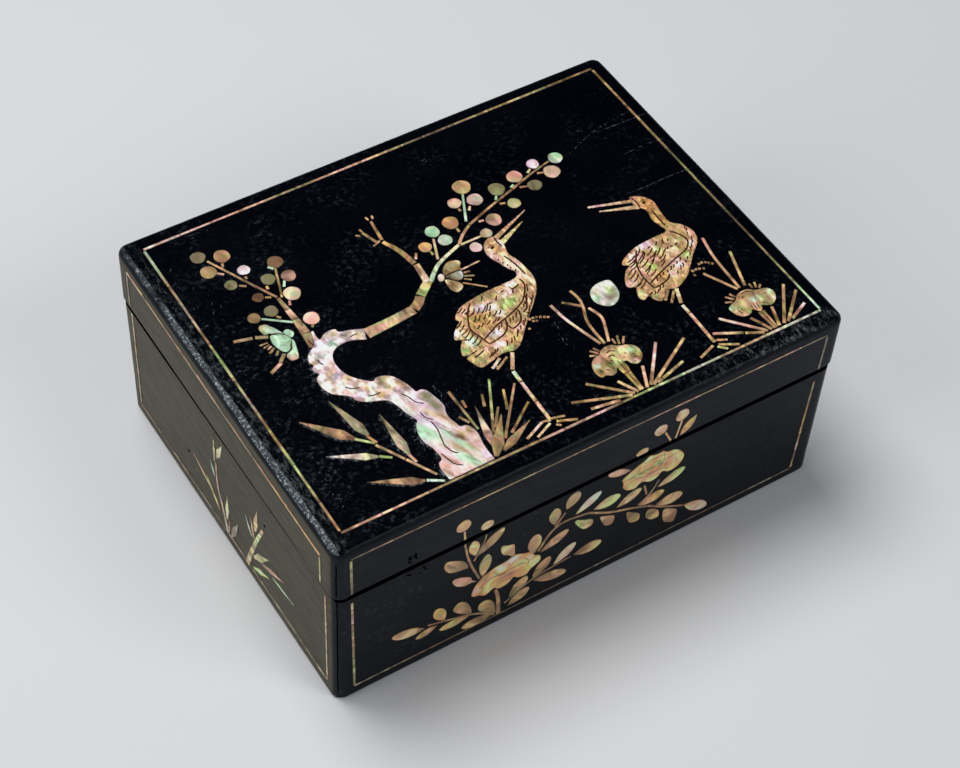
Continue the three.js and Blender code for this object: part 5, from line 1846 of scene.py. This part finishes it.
def make_holes():
    """Knots, the crack up the front left corner, and nail holes."""
    holes = Cuts()
    for part, u, v, reach_u, reach_v, count in KNOTS:
        face = SIDE_FACES["front", part]
        for _ in range(count):
            here = Vector((u + DRAW.gauss(0, reach_u), v + DRAW.gauss(0, reach_v)))
            way = Vector((DRAW.uniform(0.3, 1.3), 0))
            way.rotate(Matrix.Rotation(DRAW.gauss(-0.7, 0.6), 2))
            bend = Vector((-way.y, way.x)) * DRAW.uniform(-0.7, 0.7)
            holes.line(face, (here - way, here + bend, here + way), DRAW.uniform(0.5, 0.9), IN_LACQUER)
    for part, half, low, high in CORNER_CRACKS:
        steps = int((high - low) / CRACK_STEP)
        middle = (half.y - half.x) / math.sqrt(2)
        points = [(middle + DRAW.uniform(-0.12, 0.12), low + (high - low) * step / steps)
                  for step in range(steps + 1)]
        holes.line(CORNER_FACES[part], points, CORNER_CUT, IN_LACQUER)
    for u, v in NAIL_HOLES:
        holes.lay(SIDE_FACES["left", "box"], oval(u, v, NAIL_RADIUS, sides=12), "dull", lift=IN_LACQUER)
    holes.finish("knots_and_holes", SHADOW_AND_HOLES, "lacquer")


# The object

make_box_and_lid()
make_borders()
make_trunk()
make_blossoms()
make_twigs()
make_side_blossoms()
make_crane("left", LEFT_CRANE, LEFT_CRANE_SPOTS, LEFT_BEAK, LEFT_LEG, LEFT_CHAINS, seed=0.62)
make_crane("right", RIGHT_CRANE, RIGHT_CRANE_SPOTS, RIGHT_BEAK, RIGHT_LEG, RIGHT_CHAINS, seed=0.18)
CUTS = Cuts()
cut_cranes(CUTS)
make_irises(CUTS)
make_bamboo_and_pearl()
make_front(CUTS)
make_shoots()
cut_shell(CUTS)
make_scratches()
make_holes()
CUTS.finish("engraved_lines", FILLING, "nacre")


# Floor, light and camera

def make_stage():
    corners = [(x * FLOOR_REACH, y * FLOOR_REACH, 0) for x, y in ((-1, -1), (1, -1), (1, 1), (-1, 1))]
    floor = new_object("floor", corners, [(0, 1, 2, 3)], GROUND)


def make_lights():
    world = bpy.data.worlds.new("dim_room")
    world.use_nodes = True
    world.node_tree.nodes["Background"].inputs["Color"].default_value = ROOM_COLOUR
    world.node_tree.nodes["Background"].inputs["Strength"].default_value = ROOM_LIGHT
    bpy.context.scene.world = world
    for name, place, aim, size, power in LIGHTS:
        light = bpy.data.lights.new(name, "AREA")
        light.shape = "DISK"
        light.size = size
        light.energy = power
        lamp = bpy.data.objects.new(name, light)
        lamp.location = place
        lamp.rotation_euler = (Vector(aim) - Vector(place)).to_track_quat("-Z", "Y").to_euler()
        bpy.context.scene.collection.objects.link(lamp)


def make_camera():
    turn = math.radians(VIEW_TURN)
    height = math.radians(VIEW_HEIGHT)
    roll = math.radians(VIEW_ROLL)
    back = Vector((math.sin(turn) * math.cos(height), -math.cos(turn) * math.cos(height), math.sin(height)))
    right = Vector((math.cos(turn), math.sin(turn), 0))
    up = back.cross(right)
    across = right * math.cos(roll) + up * math.sin(roll)
    above = up * math.cos(roll) - right * math.sin(roll)
    place = (back * VIEW_DISTANCE - across * VIEW_ACROSS - above * VIEW_UP) * MM
    data = bpy.data.cameras.new("camera")
    data.sensor_fit = "HORIZONTAL"
    data.sensor_width = SENSOR
    data.lens = FOCAL_PIXELS / FRAME_PIXELS * SENSOR
    camera = bpy.data.objects.new("camera", data)
    camera.matrix_world = Matrix.Translation(place) @ Matrix((across, above, back)).transposed().to_4x4()
    bpy.context.scene.collection.objects.link(camera)
    bpy.context.scene.camera = camera


make_stage()
make_lights()
make_camera()
bpy.context.scene.view_settings.view_transform = "Standard"
